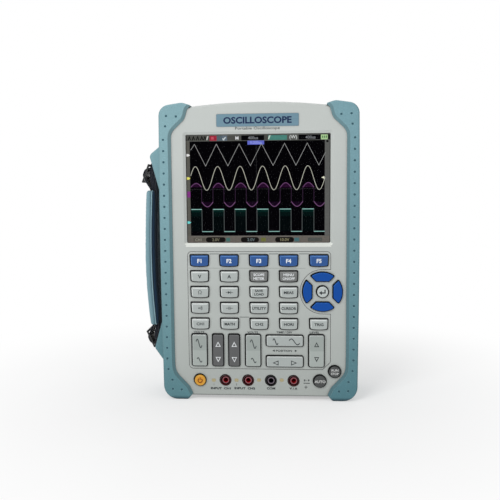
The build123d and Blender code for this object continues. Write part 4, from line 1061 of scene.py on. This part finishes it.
# channel markers down the left edge, trigger arrow at the right
for v, c in ((315, (226, 224, 222)), (555, (232, 226, 110)), (1015, (110, 214, 212))):
    x, z = scr(U(38), V(v))
    s.prism([(x - 1.3, z - 1.0), (x + 0.4, z - 1.0), (x + 1.6, z), (x + 0.4, z + 1.0), (x - 1.3, z + 1.0)], S0 - 0.16, S0 - 0.05, lit(*c))
srect(U(24), U(56), V(690), V(752), 4, lit(132, 56, 132))
x, z = scr(U(1446), V(556))
s.prism(tri(x, z, 2.4, 2.2, "left"), S0 - 0.16, S0 - 0.05, lit(232, 230, 206))
s.disc(*scr(U(1492), V(185)), 1.0, S0 - 0.16, S0 - 0.05, lit(20, 20, 20), 16)
s.done()


# ---------------------------------------------------------------------------
# hand strap: two padded layers, piping, stitching and woven webbing
# ---------------------------------------------------------------------------
def reading(table, z):
    t = sorted(table)
    if z <= t[0][0]:
        return t[0][1]
    for (z0, a), (z1, b) in zip(t, t[1:]):
        if z <= z1:
            return a + (b - a) * (z - z0) / (z1 - z0)
    return t[-1][1]


def along(table, z):
    return sum(reading(table, z + k) for k in (-6, -3, 0, 3, 6)) / 5.0


OUT = [(175.4, -95.2), (168.9, -95.8), (154.6, -96.4), (142, -96.9), (129, -97.3), (116.6, -97.6), (103.8, -97.3), (90.9, -96.8),
       (78, -95.8), (65, -94.7), (60.2, -93.6)]
SPLIT = [(175.4, -90.1), (168.9, -90.3), (154.6, -91.0), (142, -91.5), (129, -91.75), (116.6, -91.8), (103.8, -91.6), (90.9, -91.2),
         (78, -90.4), (65, -89.3), (60.2, -89.0)]
INN = [(175.4, -88.0), (168.9, -87.8), (154.6, -88.25), (142, -88.6), (129, -88.85), (116.6, -88.8), (103.8, -88.5), (90.9, -88.0),
       (78, -87.1), (65, -86.7), (60.2, -87.0)]
PAD_Z = (60.4, 175.2)


def rounded(p, h, r):
    q = [max(-(h[i] - r), min(h[i] - r, p[i])) for i in range(3)]
    d = [p[i] - q[i] for i in range(3)]
    n = math.sqrt(sum(c * c for c in d))
    if n < 1e-9:
        return p
    return [q[i] + d[i] / n * r for i in range(3)]


def padded(name, outer, inner, z0, z1, half, r, cell, grow=0.0):
    """A closed quad mesh for one padded layer, from even cells over a rounded block that follows two curves."""
    zm, hz = (z0 + z1) / 2, (z1 - z0) / 2
    th = abs(along(outer, zm) - along(inner, zm)) / 2
    nx, ny, nz = max(2, round(2 * th / cell)), round(2 * half / cell), round((z1 - z0) / cell)
    b = bmesh.new()
    made = {}

    def vert(i, j, k):
        if (i, j, k) not in made:
            p = [(i / nx * 2 - 1) * th, (j / ny * 2 - 1) * half, (k / nz * 2 - 1) * hz]
            q = rounded(p, (th, half, hz), r)
            z = zm + q[2]
            xo, xi = along(outer, z), along(inner, z)
            x = (xo + xi) / 2 + q[0] / th * (abs(xi - xo) / 2 - grow)
            made[(i, j, k)] = b.verts.new(P(x, q[1], z))
        return made[(i, j, k)]

    for k in range(nz):
        for j in range(ny):
            b.faces.new([vert(0, j, k), vert(0, j, k + 1), vert(0, j + 1, k + 1), vert(0, j + 1, k)])
            b.faces.new([vert(nx, j, k), vert(nx, j + 1, k), vert(nx, j + 1, k + 1), vert(nx, j, k + 1)])
        for i in range(nx):
            b.faces.new([vert(i, 0, k), vert(i + 1, 0, k), vert(i + 1, 0, k + 1), vert(i, 0, k + 1)])
            b.faces.new([vert(i, ny, k), vert(i, ny, k + 1), vert(i + 1, ny, k + 1), vert(i + 1, ny, k)])
    for j in range(ny):
        for i in range(nx):
            b.faces.new([vert(i, j, 0), vert(i, j + 1, 0), vert(i + 1, j + 1, 0), vert(i + 1, j, 0)])
            b.faces.new([vert(i, j, nz), vert(i + 1, j, nz), vert(i + 1, j + 1, nz), vert(i, j + 1, nz)])
    bmesh.ops.recalc_face_normals(b, faces=b.faces)
    me = bpy.data.meshes.new(name)
    b.to_mesh(me)
    b.free()
    ob = bpy.data.objects.new(name, me)
    bpy.context.scene.collection.objects.link(ob)
    return ob


def puff(obs, tests, caps, pressure):
    """Inflates the padded layers as cloth with their seams held, then keeps each point within a small distance of where it began."""
    rests = []
    for ob, test in zip(obs, tests):
        rests.append([(v.co.copy(), v.normal.copy()) for v in ob.data.vertices])
        g = ob.vertex_groups.new(name="seam")
        g.add([v.index for v in ob.data.vertices if test(v.co)], 1.0, "REPLACE")
        m = ob.modifiers.new("padding", "CLOTH")
        c = m.settings
        c.quality = 6
        c.mass = 0.3
        c.tension_stiffness = 12
        c.compression_stiffness = 12
        c.shear_stiffness = 5
        c.bending_stiffness = 0.6
        c.use_pressure = True
        c.uniform_pressure_force = pressure
        c.vertex_group_mass = "seam"
        c.effector_weights.gravity = 0.0
        m.collision_settings.use_collision = False
        m.point_cache.frame_start = 1
        m.point_cache.frame_end = 20
    for f in range(1, 21):
        bpy.context.scene.frame_set(f)
    dg = bpy.context.evaluated_depsgraph_get()
    results = []
    for ob in obs:
        me = bpy.data.meshes.new_from_object(ob.evaluated_get(dg))
        results.append([v.co.copy() for v in me.vertices])
        bpy.data.meshes.remove(me)
    for ob, rest, got, cap in zip(obs, rests, results, caps):
        ob.modifiers.clear()
        for v, (co, nor), g in zip(ob.data.vertices, rest, got):
            d = g - co
            if not all(math.isfinite(c) for c in d):
                d = Vector((0, 0, 0))
            out = max(-0.2 * cap * MM, min(cap * MM, d.dot(nor)))
            side = d - nor * d.dot(nor)
            if side.length > 0.25 * cap * MM:
                side = side.normalized() * 0.25 * cap * MM
            v.co = co + nor * out + side
    bpy.context.scene.frame_set(1)


def subdivided(ob, levels=1):
    m = ob.modifiers.new("smooth", "SUBSURF")
    m.levels = m.render_levels = levels
    dg = bpy.context.evaluated_depsgraph_get()
    me = bpy.data.meshes.new_from_object(ob.evaluated_get(dg))
    ob.modifiers.clear()
    old = ob.data
    ob.data = me
    me.name = ob.name
    bpy.data.meshes.remove(old)
    for p in me.polygons:
        p.use_smooth = True


def box_uv(ob):
    """UVs in metres, from the two axes each face lies along, with the length of the strap as u."""
    me = ob.data
    uv = me.uv_layers.new(name="UVMap")
    for p in me.polygons:
        n = p.normal
        for li in p.loop_indices:
            co = me.vertices[me.loops[li].vertex_index].co
            if abs(n.x) >= abs(n.y) and abs(n.x) >= abs(n.z):
                uv.data[li].uv = (co.z, co.y)
            elif abs(n.y) >= abs(n.z):
                uv.data[li].uv = (co.z, co.x)
            else:
                uv.data[li].uv = (co.x, co.y)


def leather(name, base, rough=0.55):
    """Soft coated cloth: pebble grain from cells, fine creases, paler worn high spots."""
    m = Nodes(name)
    vec = m.coords()
    drift = m.noise(vec, 30.0, 4.0, 0.6)
    fine = m.noise(vec, 2600.0, 2.0, 0.6)
    vor = m.add("ShaderNodeTexVoronoi", {"feature": "DISTANCE_TO_EDGE"}, Vector=vec, Scale=1250.0)
    cell = m.ramp(vor.outputs["Distance"], 0.0, 0.18)
    crease = m.noise(vec, 160.0, 5.0, 0.65)
    c = m.mix(m.ramp(drift, 0.3, 0.7), scaled(base, 0.93), scaled(base, 1.07))
    c = m.mix(m.math("MULTIPLY", m.math("SUBTRACT", 1.0, cell), 0.35), c, scaled(base, 0.62))
    c = m.mix(m.ramp(crease, 0.60, 0.75, 0.0, 0.25), c, scaled(base, 1.3))
    # painted shade: darker towards the bottom
    c = m.mix(m.ramp(m.z, 0.055, 0.18, 0.22, 0.0), c, scaled(base, 0.62))
    h = m.math("ADD", m.math("MULTIPLY", cell, 0.5), m.math("MULTIPLY", crease, 0.9))
    h = m.math("ADD", h, m.math("MULTIPLY", fine, 0.15))
    b = m.add("ShaderNodeBump", None, Strength=0.45, Distance=0.00010, Height=h)
    p = m.add("ShaderNodeBsdfPrincipled", None, Base_Color=c, Roughness=m.ramp(crease, 0.3, 0.7, rough - 0.06, rough + 0.08), Normal=b.outputs[0])
    p.inputs["Specular IOR Level"].default_value = 0.35
    p.inputs["Sheen Weight"].default_value = 0.15
    return m.finish(p.outputs[0])


M["pad"] = leather("strap_pad", srgb(128, 165, 176))
M["piping"] = leather("strap_piping", srgb(150, 184, 196), 0.45)
M["lining"] = weave("strap_lining", srgb(34, 62, 86), srgb(22, 42, 64), pitch=0.0008, sheen=0.2, bump=0.5)
M["web"] = weave("strap_web", srgb(30, 34, 50), srgb(14, 16, 26), pitch=0.0011, sheen=0.25, bump=0.8, depth=0.00020, rough=0.7)
M["thread"] = weave("strap_thread", srgb(176, 198, 204), srgb(120, 150, 160), pitch=0.0004, sheen=0.3, bump=0.6, depth=0.00004)

outer_pad = padded("strap_outer_pad", OUT, SPLIT, PAD_Z[0], PAD_Z[1], 14.0, 2.3, 2.1, grow=0.25)
lining = padded("strap_lining_pad", SPLIT, INN, PAD_Z[0] + 0.6, PAD_Z[1] - 0.6, 13.2, 1.25, 2.1, grow=0.12)
def at_seam(v):
    return v.x / MM - SX > along(SPLIT, v.z / MM) - 1.1

def lining_seam(v):
    return v.x / MM - SX < along(SPLIT, v.z / MM) + 0.8
puff([outer_pad, lining], [at_seam, lining_seam], [0.55, 0.25], 4.0)
subdivided(outer_pad)
subdivided(lining)
# the stitched channel round the outer layer, and shallow flex creases where the hand bends it
for v in outer_pad.data.vertices:
    x, y, z = v.co.x / MM - SX, v.co.y / MM, v.co.z / MM
    if x < along(OUT, z) + 1.6:
        e = min(14.0 - abs(y), z - PAD_Z[0], PAD_Z[1] - z)
        dent = 0.34 * math.exp(-((e - 3.1) / 0.75) ** 2)
        flex = 0.07 * math.sin(z * 0.52 + 0.6 * math.sin(y * 0.3)) * math.exp(-((z - 117) / 30.0) ** 2)
        v.co.x += (dent + flex) * MM
outer_pad.data.materials.clear()
outer_pad.data.materials.append(M["pad"])
lining.data.materials.clear()
lining.data.materials.append(M["lining"])
box_uv(lining)
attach(outer_pad, "strap")
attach(lining, "strap")
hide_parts("strap_grip")


def tube(b, pts, r, closed, sides=8, radii=None):
    """A round cord along 3-D points."""
    rings = []
    n = len(pts)
    for i, p in enumerate(pts):
        a = pts[i - 1] if (i > 0 or closed) else pts[i]
        c = pts[(i + 1) % n] if (i < n - 1 or closed) else pts[i]
        t = (c - a).normalized()
        ref = Vector((1, 0, 0)) if abs(t.x) < 0.9 else Vector((0, 1, 0))
        s1 = t.cross(ref).normalized()
        s2 = t.cross(s1)
        rr = (radii[i] if radii else r)
        rings.append([b.verts.new(p + (s1 * math.cos(k * 2 * math.pi / sides) + s2 * math.sin(k * 2 * math.pi / sides)) * rr) for k in range(sides)])
    for i in range(n if closed else n - 1):
        r0, r1 = rings[i], rings[(i + 1) % n]
        for k in range(sides):
            b.faces.new([r0[k], r0[(k + 1) % sides], r1[(k + 1) % sides], r1[k]])
    if not closed:
        b.faces.new(rings[0][::-1])
        b.faces.new(rings[-1])


def finish_mesh(name, b, mat, body, smooth=True):
    bmesh.ops.recalc_face_normals(b, faces=b.faces)
    me = bpy.data.meshes.new(name)
    b.to_mesh(me)
    b.free()
    me.materials.append(mat)
    for p in me.polygons:
        p.use_smooth = smooth
    ob = bpy.data.objects.new(name, me)
    bpy.context.scene.collection.objects.link(ob)
    if body:
        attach(ob, body)
    return ob


# piping cord in the seam between the two layers
loop = []
HY, RC = 13.75, 3.0
zt, zb = PAD_Z[1] - 0.5, PAD_Z[0] + 0.5
corners = ((HY - RC, zt - RC, 0), (-(HY - RC), zt - RC, 90), (-(HY - RC), zb + RC, 180), (HY - RC, zb + RC, 270))
for cy, cz, a0 in corners:
    for k in range(6):
        a = math.radians(a0 + k * 18)
        loop.append((cy + RC * math.cos(a), cz + RC * math.sin(a)))
dense = []
for i in range(len(loop)):
    (ya, za), (yb, zb_) = loop[i], loop[(i + 1) % len(loop)]
    n = max(1, int(math.hypot(yb - ya, zb_ - za) / 2.0))
    for k in range(n):
        y, z = ya + (yb - ya) * k / n, za + (zb_ - za) * k / n
        dense.append(P(along(SPLIT, z), y, z))
b = bmesh.new()
tube(b, dense, 0.55 * MM, True)
finish_mesh("strap_piping_cord", b, M["piping"], "strap")

# stitches on the outer layer, following its surface
tree = BVHTree.FromPolygons([v.co.copy() for v in outer_pad.data.vertices], [tuple(p.vertices) for p in outer_pad.data.polygons])
b = bmesh.new()


def stitch(y0, z0, y1, z1):
    pts, radii = [], []
    for k in range(5):
        t = k / 4
        y, z = y0 + (y1 - y0) * t, z0 + (z1 - z0) * t
        hit = tree.ray_cast(P(-130, y, z), Vector((1, 0, 0)))
        if hit[0] is None:
            return
        lift = 0.12 * math.sin(math.pi * t) - 0.03
        pts.append(hit[0] + Vector((-lift * MM, 0, 0)))
        radii.append((0.14, 0.24, 0.27, 0.24, 0.14)[k] * MM)
    tube(b, pts, 0.2 * MM, False, 6, radii)


E = 3.1
z = PAD_Z[0] + E + 0.6
while z + 2.4 < PAD_Z[1] - E:
    for y in (-(14.0 - E), 14.0 - E):
        stitch(y, z, y, z + 2.4)
    z += 3.4
y = -(14.0 - E) + 0.7
while y + 2.4 < 14.0 - E:
    for z in (PAD_Z[0] + E, PAD_Z[1] - E):
        stitch(y, z, y + 2.4, z)
    y += 3.4
st = finish_mesh("strap_stitching", b, M["thread"], "strap")
box_uv(st)


def curve(pts, n=10):
    """A smooth line through (x, z) points."""
    out = []
    q = [pts[0]] + list(pts) + [pts[-1]]
    for i in range(1, len(q) - 2):
        p0, p1, p2, p3 = q[i - 1], q[i], q[i + 1], q[i + 2]
        for k in range(n):
            t = k / n
            out.append(tuple(0.5 * ((2 * p1[a]) + (-p0[a] + p2[a]) * t + (2 * p0[a] - 5 * p1[a] + 4 * p2[a] - p3[a]) * t * t
                                    + (-p0[a] + 3 * p1[a] - 3 * p2[a] + p3[a]) * t ** 3) for a in (0, 1)))
    out.append(pts[-1])
    return out


def resample(pts, step):
    d = [0.0]
    for a, c in zip(pts, pts[1:]):
        d.append(d[-1] + math.hypot(c[0] - a[0], c[1] - a[1]))
    n = max(2, int(d[-1] / step))
    out, j = [], 0
    for k in range(n + 1):
        s_ = d[-1] * k / n
        while j < len(d) - 2 and d[j + 1] < s_:
            j += 1
        t = (s_ - d[j]) / max(1e-9, d[j + 1] - d[j])
        out.append((pts[j][0] + (pts[j + 1][0] - pts[j][0]) * t, pts[j][1] + (pts[j + 1][1] - pts[j][1]) * t))
    return out, d[-1] / n


def web(name, path, half=9.9, t=1.15, body=None):
    """Woven band: a closed mesh with rounded edges along an (x, z) path; UVs run in metres along it."""
    pts, step = resample(path, 0.8)
    b = bmesh.new()
    uvl = b.loops.layers.uv.new("UVMap")
    ys = [-half + 0.35 + k * (2 * half - 0.7) / 10 for k in range(11)]
    sec = [(y, -t / 2) for y in ys] + [(half, -t * 0.22), (half, t * 0.22)] + [(y, t / 2) for y in ys[::-1]] + [(-half, t * 0.22), (-half, -t * 0.22)]
    rings = []
    n = len(pts)
    for i, (x, z) in enumerate(pts):
        a, c = pts[max(0, i - 1)], pts[min(n - 1, i + 1)]
        L = math.hypot(c[0] - a[0], c[1] - a[1]) or 1e-9
        nx_, nz_ = -(c[1] - a[1]) / L, (c[0] - a[0]) / L
        rings.append([b.verts.new(P(x + nx_ * o, y, z + nz_ * o)) for y, o in sec])
    m_ = len(sec)
    for i in range(n - 1):
        for k in range(m_):
            k2 = (k + 1) % m_
            f = b.faces.new([rings[i][k], rings[i][k2], rings[i + 1][k2], rings[i + 1][k]])
            for lp_, (ii, kk) in zip(f.loops, ((i, k), (i, k2), (i + 1, k2), (i + 1, k))):
                lp_[uvl].uv = (ii * step * MM, (sec[kk][0] + sec[kk][1] * 0.8) * MM)
    b.faces.new(rings[0][::-1])
    b.faces.new(rings[-1])
    return finish_mesh(name, b, M["web"], body)


def weave_points(p0, p1, uv):
    L = math.hypot(p1[0] - p0[0], p1[1] - p0[1])
    ux, uz = (p0[0] - p1[0]) / L, (p0[1] - p1[1]) / L
    vx, vz = (-uz, ux) if -uz < 0 else (uz, -ux)
    cx, cz = (p0[0] + p1[0]) / 2, (p0[1] + p1[1]) / 2
    return [(cx + u * ux + v * vx, cz + u * uz + v * vz) for u, v in uv]


THREADING = [(5.6, -2.3), (5.1, -1.4), (4.1, 0.1), (2.3, 1.5), (0, 1.75), (-2.3, 1.5), (-4.1, 0.1), (-5.4, -1.6), (-7.2, -3.2)]


def turn(c, a0, a1, r=2.5, n=14):
    return [(c[0] + r * math.cos(math.radians(a0 + (a1 - a0) * k / n)), c[1] + r * math.sin(math.radians(a0 + (a1 - a0) * k / n))) for k in range(n + 1)]


BAR_TOP, BAR_BOT = (-86.9, 200.5), (-85.4, 40.2)
up_in = curve([(-87.9, 117.0), (-88.0, 129.0), (-87.8, 142.0), (-87.4, 154.0), (-86.7, 169.0), (-87.1, 179.0), (-87.8, 186.0), (-88.2, 190.5)])
up_out = curve(weave_points((-92.8, 196.9), (-98.4, 181.8), THREADING) + [(-92.3, 177.0), (-91.3, 173.6)])
web_up = web("strap_web_upper", up_in + turn(BAR_TOP, -22.8, 163.5) + up_out)
lo_in = curve([(-87.9, 117.0), (-87.7, 104.0), (-87.2, 91.0), (-86.1, 78.0), (-85.4, 66.0), (-85.6, 58.0), (-86.6, 51.0), (-87.0, 49.0)])
lo_out = curve(weave_points((-91.0, 40.9), (-97.4, 55.1), THREADING) + [(-92.4, 59.6), (-90.6, 63.4)])
web_lo = web("strap_web_lower", lo_in + turn(BAR_BOT, 26.5, -155.6) + lo_out)
# the doubled tails, folded back under the buckles and sewn in with the padding
for name, paths in (("strap_tail_upper", ([(-89.0, 196.0), (-89.5, 192.0), (-89.2, 185.0), (-88.5, 179.0), (-88.6, 172.5)],
                                          [(-90.3, 195.4), (-90.8, 191.5), (-90.5, 185.0), (-89.8, 179.0), (-89.9, 172.5)],
                                          [(-91.6, 193.0), (-92.1, 190.5), (-91.7, 185.0), (-91.1, 179.5), (-91.2, 173.0)])),
                    ("strap_tail_lower", ([(-87.6, 44.0), (-88.2, 47.5), (-88.0, 53.0), (-87.2, 58.0), (-87.4, 63.5)],
                                          [(-89.0, 43.2), (-89.5, 47.5), (-89.3, 53.0), (-88.6, 58.0), (-88.8, 63.5)],
                                          [(-90.3, 46.0), (-90.8, 49.0), (-90.5, 53.5), (-89.9, 58.5), (-90.1, 63.5)]))):
    parts_ = [web(name + "_%d" % i, curve(p), half=9.9 - 0.35 * i, body="strap") for i, p in enumerate(paths)]
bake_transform(web_up)
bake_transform(web_lo)
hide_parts("strap_webbing", "strap_loops")

# painted shade: dark discs on the floors of the dimples moulded into the bumpers
s = Sheet("bumper_dimple_floors", "housing", "bumper_teal")
dots = [(-66.4, 234.6), (-74.4, 235.1), (-75.3, 226.9)] + [(-77.3, 216.1 - i * 9.06) for i in range(21)]
dots += [(-76.6, 25.9), (-73.4, 16.7), (-73.1, 8.9), (-65.6, 8.5)]
for x, z in dots:
    for sx in (-1, 1):
        s.disc(-sx * x, z, 0.92, -25.74, -25.60, M["dimple"], 16)
        s.disc(-sx * x, z, 0.92, 25.60, 25.74, M["dimple"], 16)
s.done()

# ---------------------------------------------------------------------------
# stage, light and camera
# ---------------------------------------------------------------------------
scene = bpy.context.scene
world = bpy.data.worlds.new("studio")
scene.world = world
world.use_nodes = True
wt = world.node_tree
wt.nodes.clear()
lp = wt.nodes.new("ShaderNodeLightPath")
bg1 = wt.nodes.new("ShaderNodeBackground")
bg2 = wt.nodes.new("ShaderNodeBackground")
bg1.inputs[0].default_value = (1.0, 1.0, 1.0, 1.0)
bg1.inputs[1].default_value = 0.40
bg2.inputs[0].default_value = (1.0, 1.0, 1.0, 1.0)
bg2.inputs[1].default_value = 1.0
mx = wt.nodes.new("ShaderNodeMixShader")
wo = wt.nodes.new("ShaderNodeOutputWorld")
wt.links.new(lp.outputs["Is Camera Ray"], mx.inputs[0])
wt.links.new(bg1.outputs[0], mx.inputs[1])
wt.links.new(bg2.outputs[0], mx.inputs[2])
wt.links.new(mx.outputs[0], wo.inputs[0])

fm = Nodes("studio_floor")
vec = fm.coords()
n = fm.noise(vec, 6.0, 3.0, 0.5)
c = fm.mix(fm.ramp(n, 0.3, 0.7), (0.86, 0.86, 0.86, 1), (0.90, 0.90, 0.90, 1))
df = fm.add("ShaderNodeBsdfDiffuse", None, Color=c, Roughness=0.6)
em = fm.add("ShaderNodeEmission", None, Color=(1, 1, 1, 1), Strength=1.0)
ln = fm.add("ShaderNodeVectorMath", {"operation": "LENGTH"}, i0=vec).outputs["Value"]
far = fm.ramp(ln, 0.06, 0.36, 0.45, 1.0, smooth=True)
ms = fm.add("ShaderNodeMixShader", None, i0=far, i1=df.outputs[0], i2=em.outputs[0])
floor_mat = fm.finish(ms.outputs[0])
bm = bmesh.new()
R = 14.0
N = 64
ring = [bm.verts.new((R * math.cos(2 * math.pi * i / N), R * math.sin(2 * math.pi * i / N), -0.00005)) for i in range(N)]
bm.faces.new(ring)
me = bpy.data.meshes.new("studio_floor")
bm.to_mesh(me)
bm.free()
me.materials.append(floor_mat)
floor = bpy.data.objects.new("studio_floor", me)
scene.collection.objects.link(floor)


def area(name, loc, target, size, energy, size_y=None, colour=(1, 1, 1)):
    ld = bpy.data.lights.new(name, "AREA")
    ld.energy = energy
    ld.color = colour
    ld.shape = "RECTANGLE"
    ld.size = size
    ld.size_y = size_y or size
    ob = bpy.data.objects.new(name, ld)
    scene.collection.objects.link(ob)
    ob.location = loc
    ob.rotation_mode = "QUATERNION"
    ob.rotation_quaternion = (Vector(target) - Vector(loc)).to_track_quat("-Z", "Y")
    ob.visible_camera = False
    return ob


area("key_light", (-0.5, -0.85, 0.85), (0, 0, 0.14), 0.5, 5.9)
area("fill_light", (1.2, -0.9, 0.5), (0, 0, 0.12), 0.9, 0.5)
area("top_light", (0.0, 0.35, 1.6), (0, 0, 0), 1.4, 9.0)

az, el, roll = math.radians(4.13), math.radians(5.59), math.radians(-0.464)
D, T, FPX = 550.0, (-7.344, -24.0, 125.972), 670.625
back = Vector((math.sin(az) * math.cos(el), -math.cos(az) * math.cos(el), math.sin(el)))
fwd = -back
right = fwd.cross(Vector((0, 0, 1))).normalized()
up = right.cross(fwd)
R_ = right * math.cos(roll) + up * math.sin(roll)
U_ = up * math.cos(roll) - right * math.sin(roll)
cam_data = bpy.data.cameras.new("camera")
cam = bpy.data.objects.new("camera", cam_data)
scene.collection.objects.link(cam)
loc = P(*T) + back * D * MM
cam.matrix_world = Matrix(((R_.x, U_.x, back.x, loc.x), (R_.y, U_.y, back.y, loc.y), (R_.z, U_.z, back.z, loc.z), (0, 0, 0, 1)))
cam_data.sensor_fit = "HORIZONTAL"
cam_data.sensor_width = 36.0
cam_data.lens = FPX / 500.0 * 36.0
cam_data.clip_start = 0.01
cam_data.clip_end = 100.0
scene.camera = cam
scene.view_settings.view_transform = "Standard"
scene.view_settings.look = "None"
scene.view_settings.exposure = 0.0
scene.view_settings.gamma = 1.0
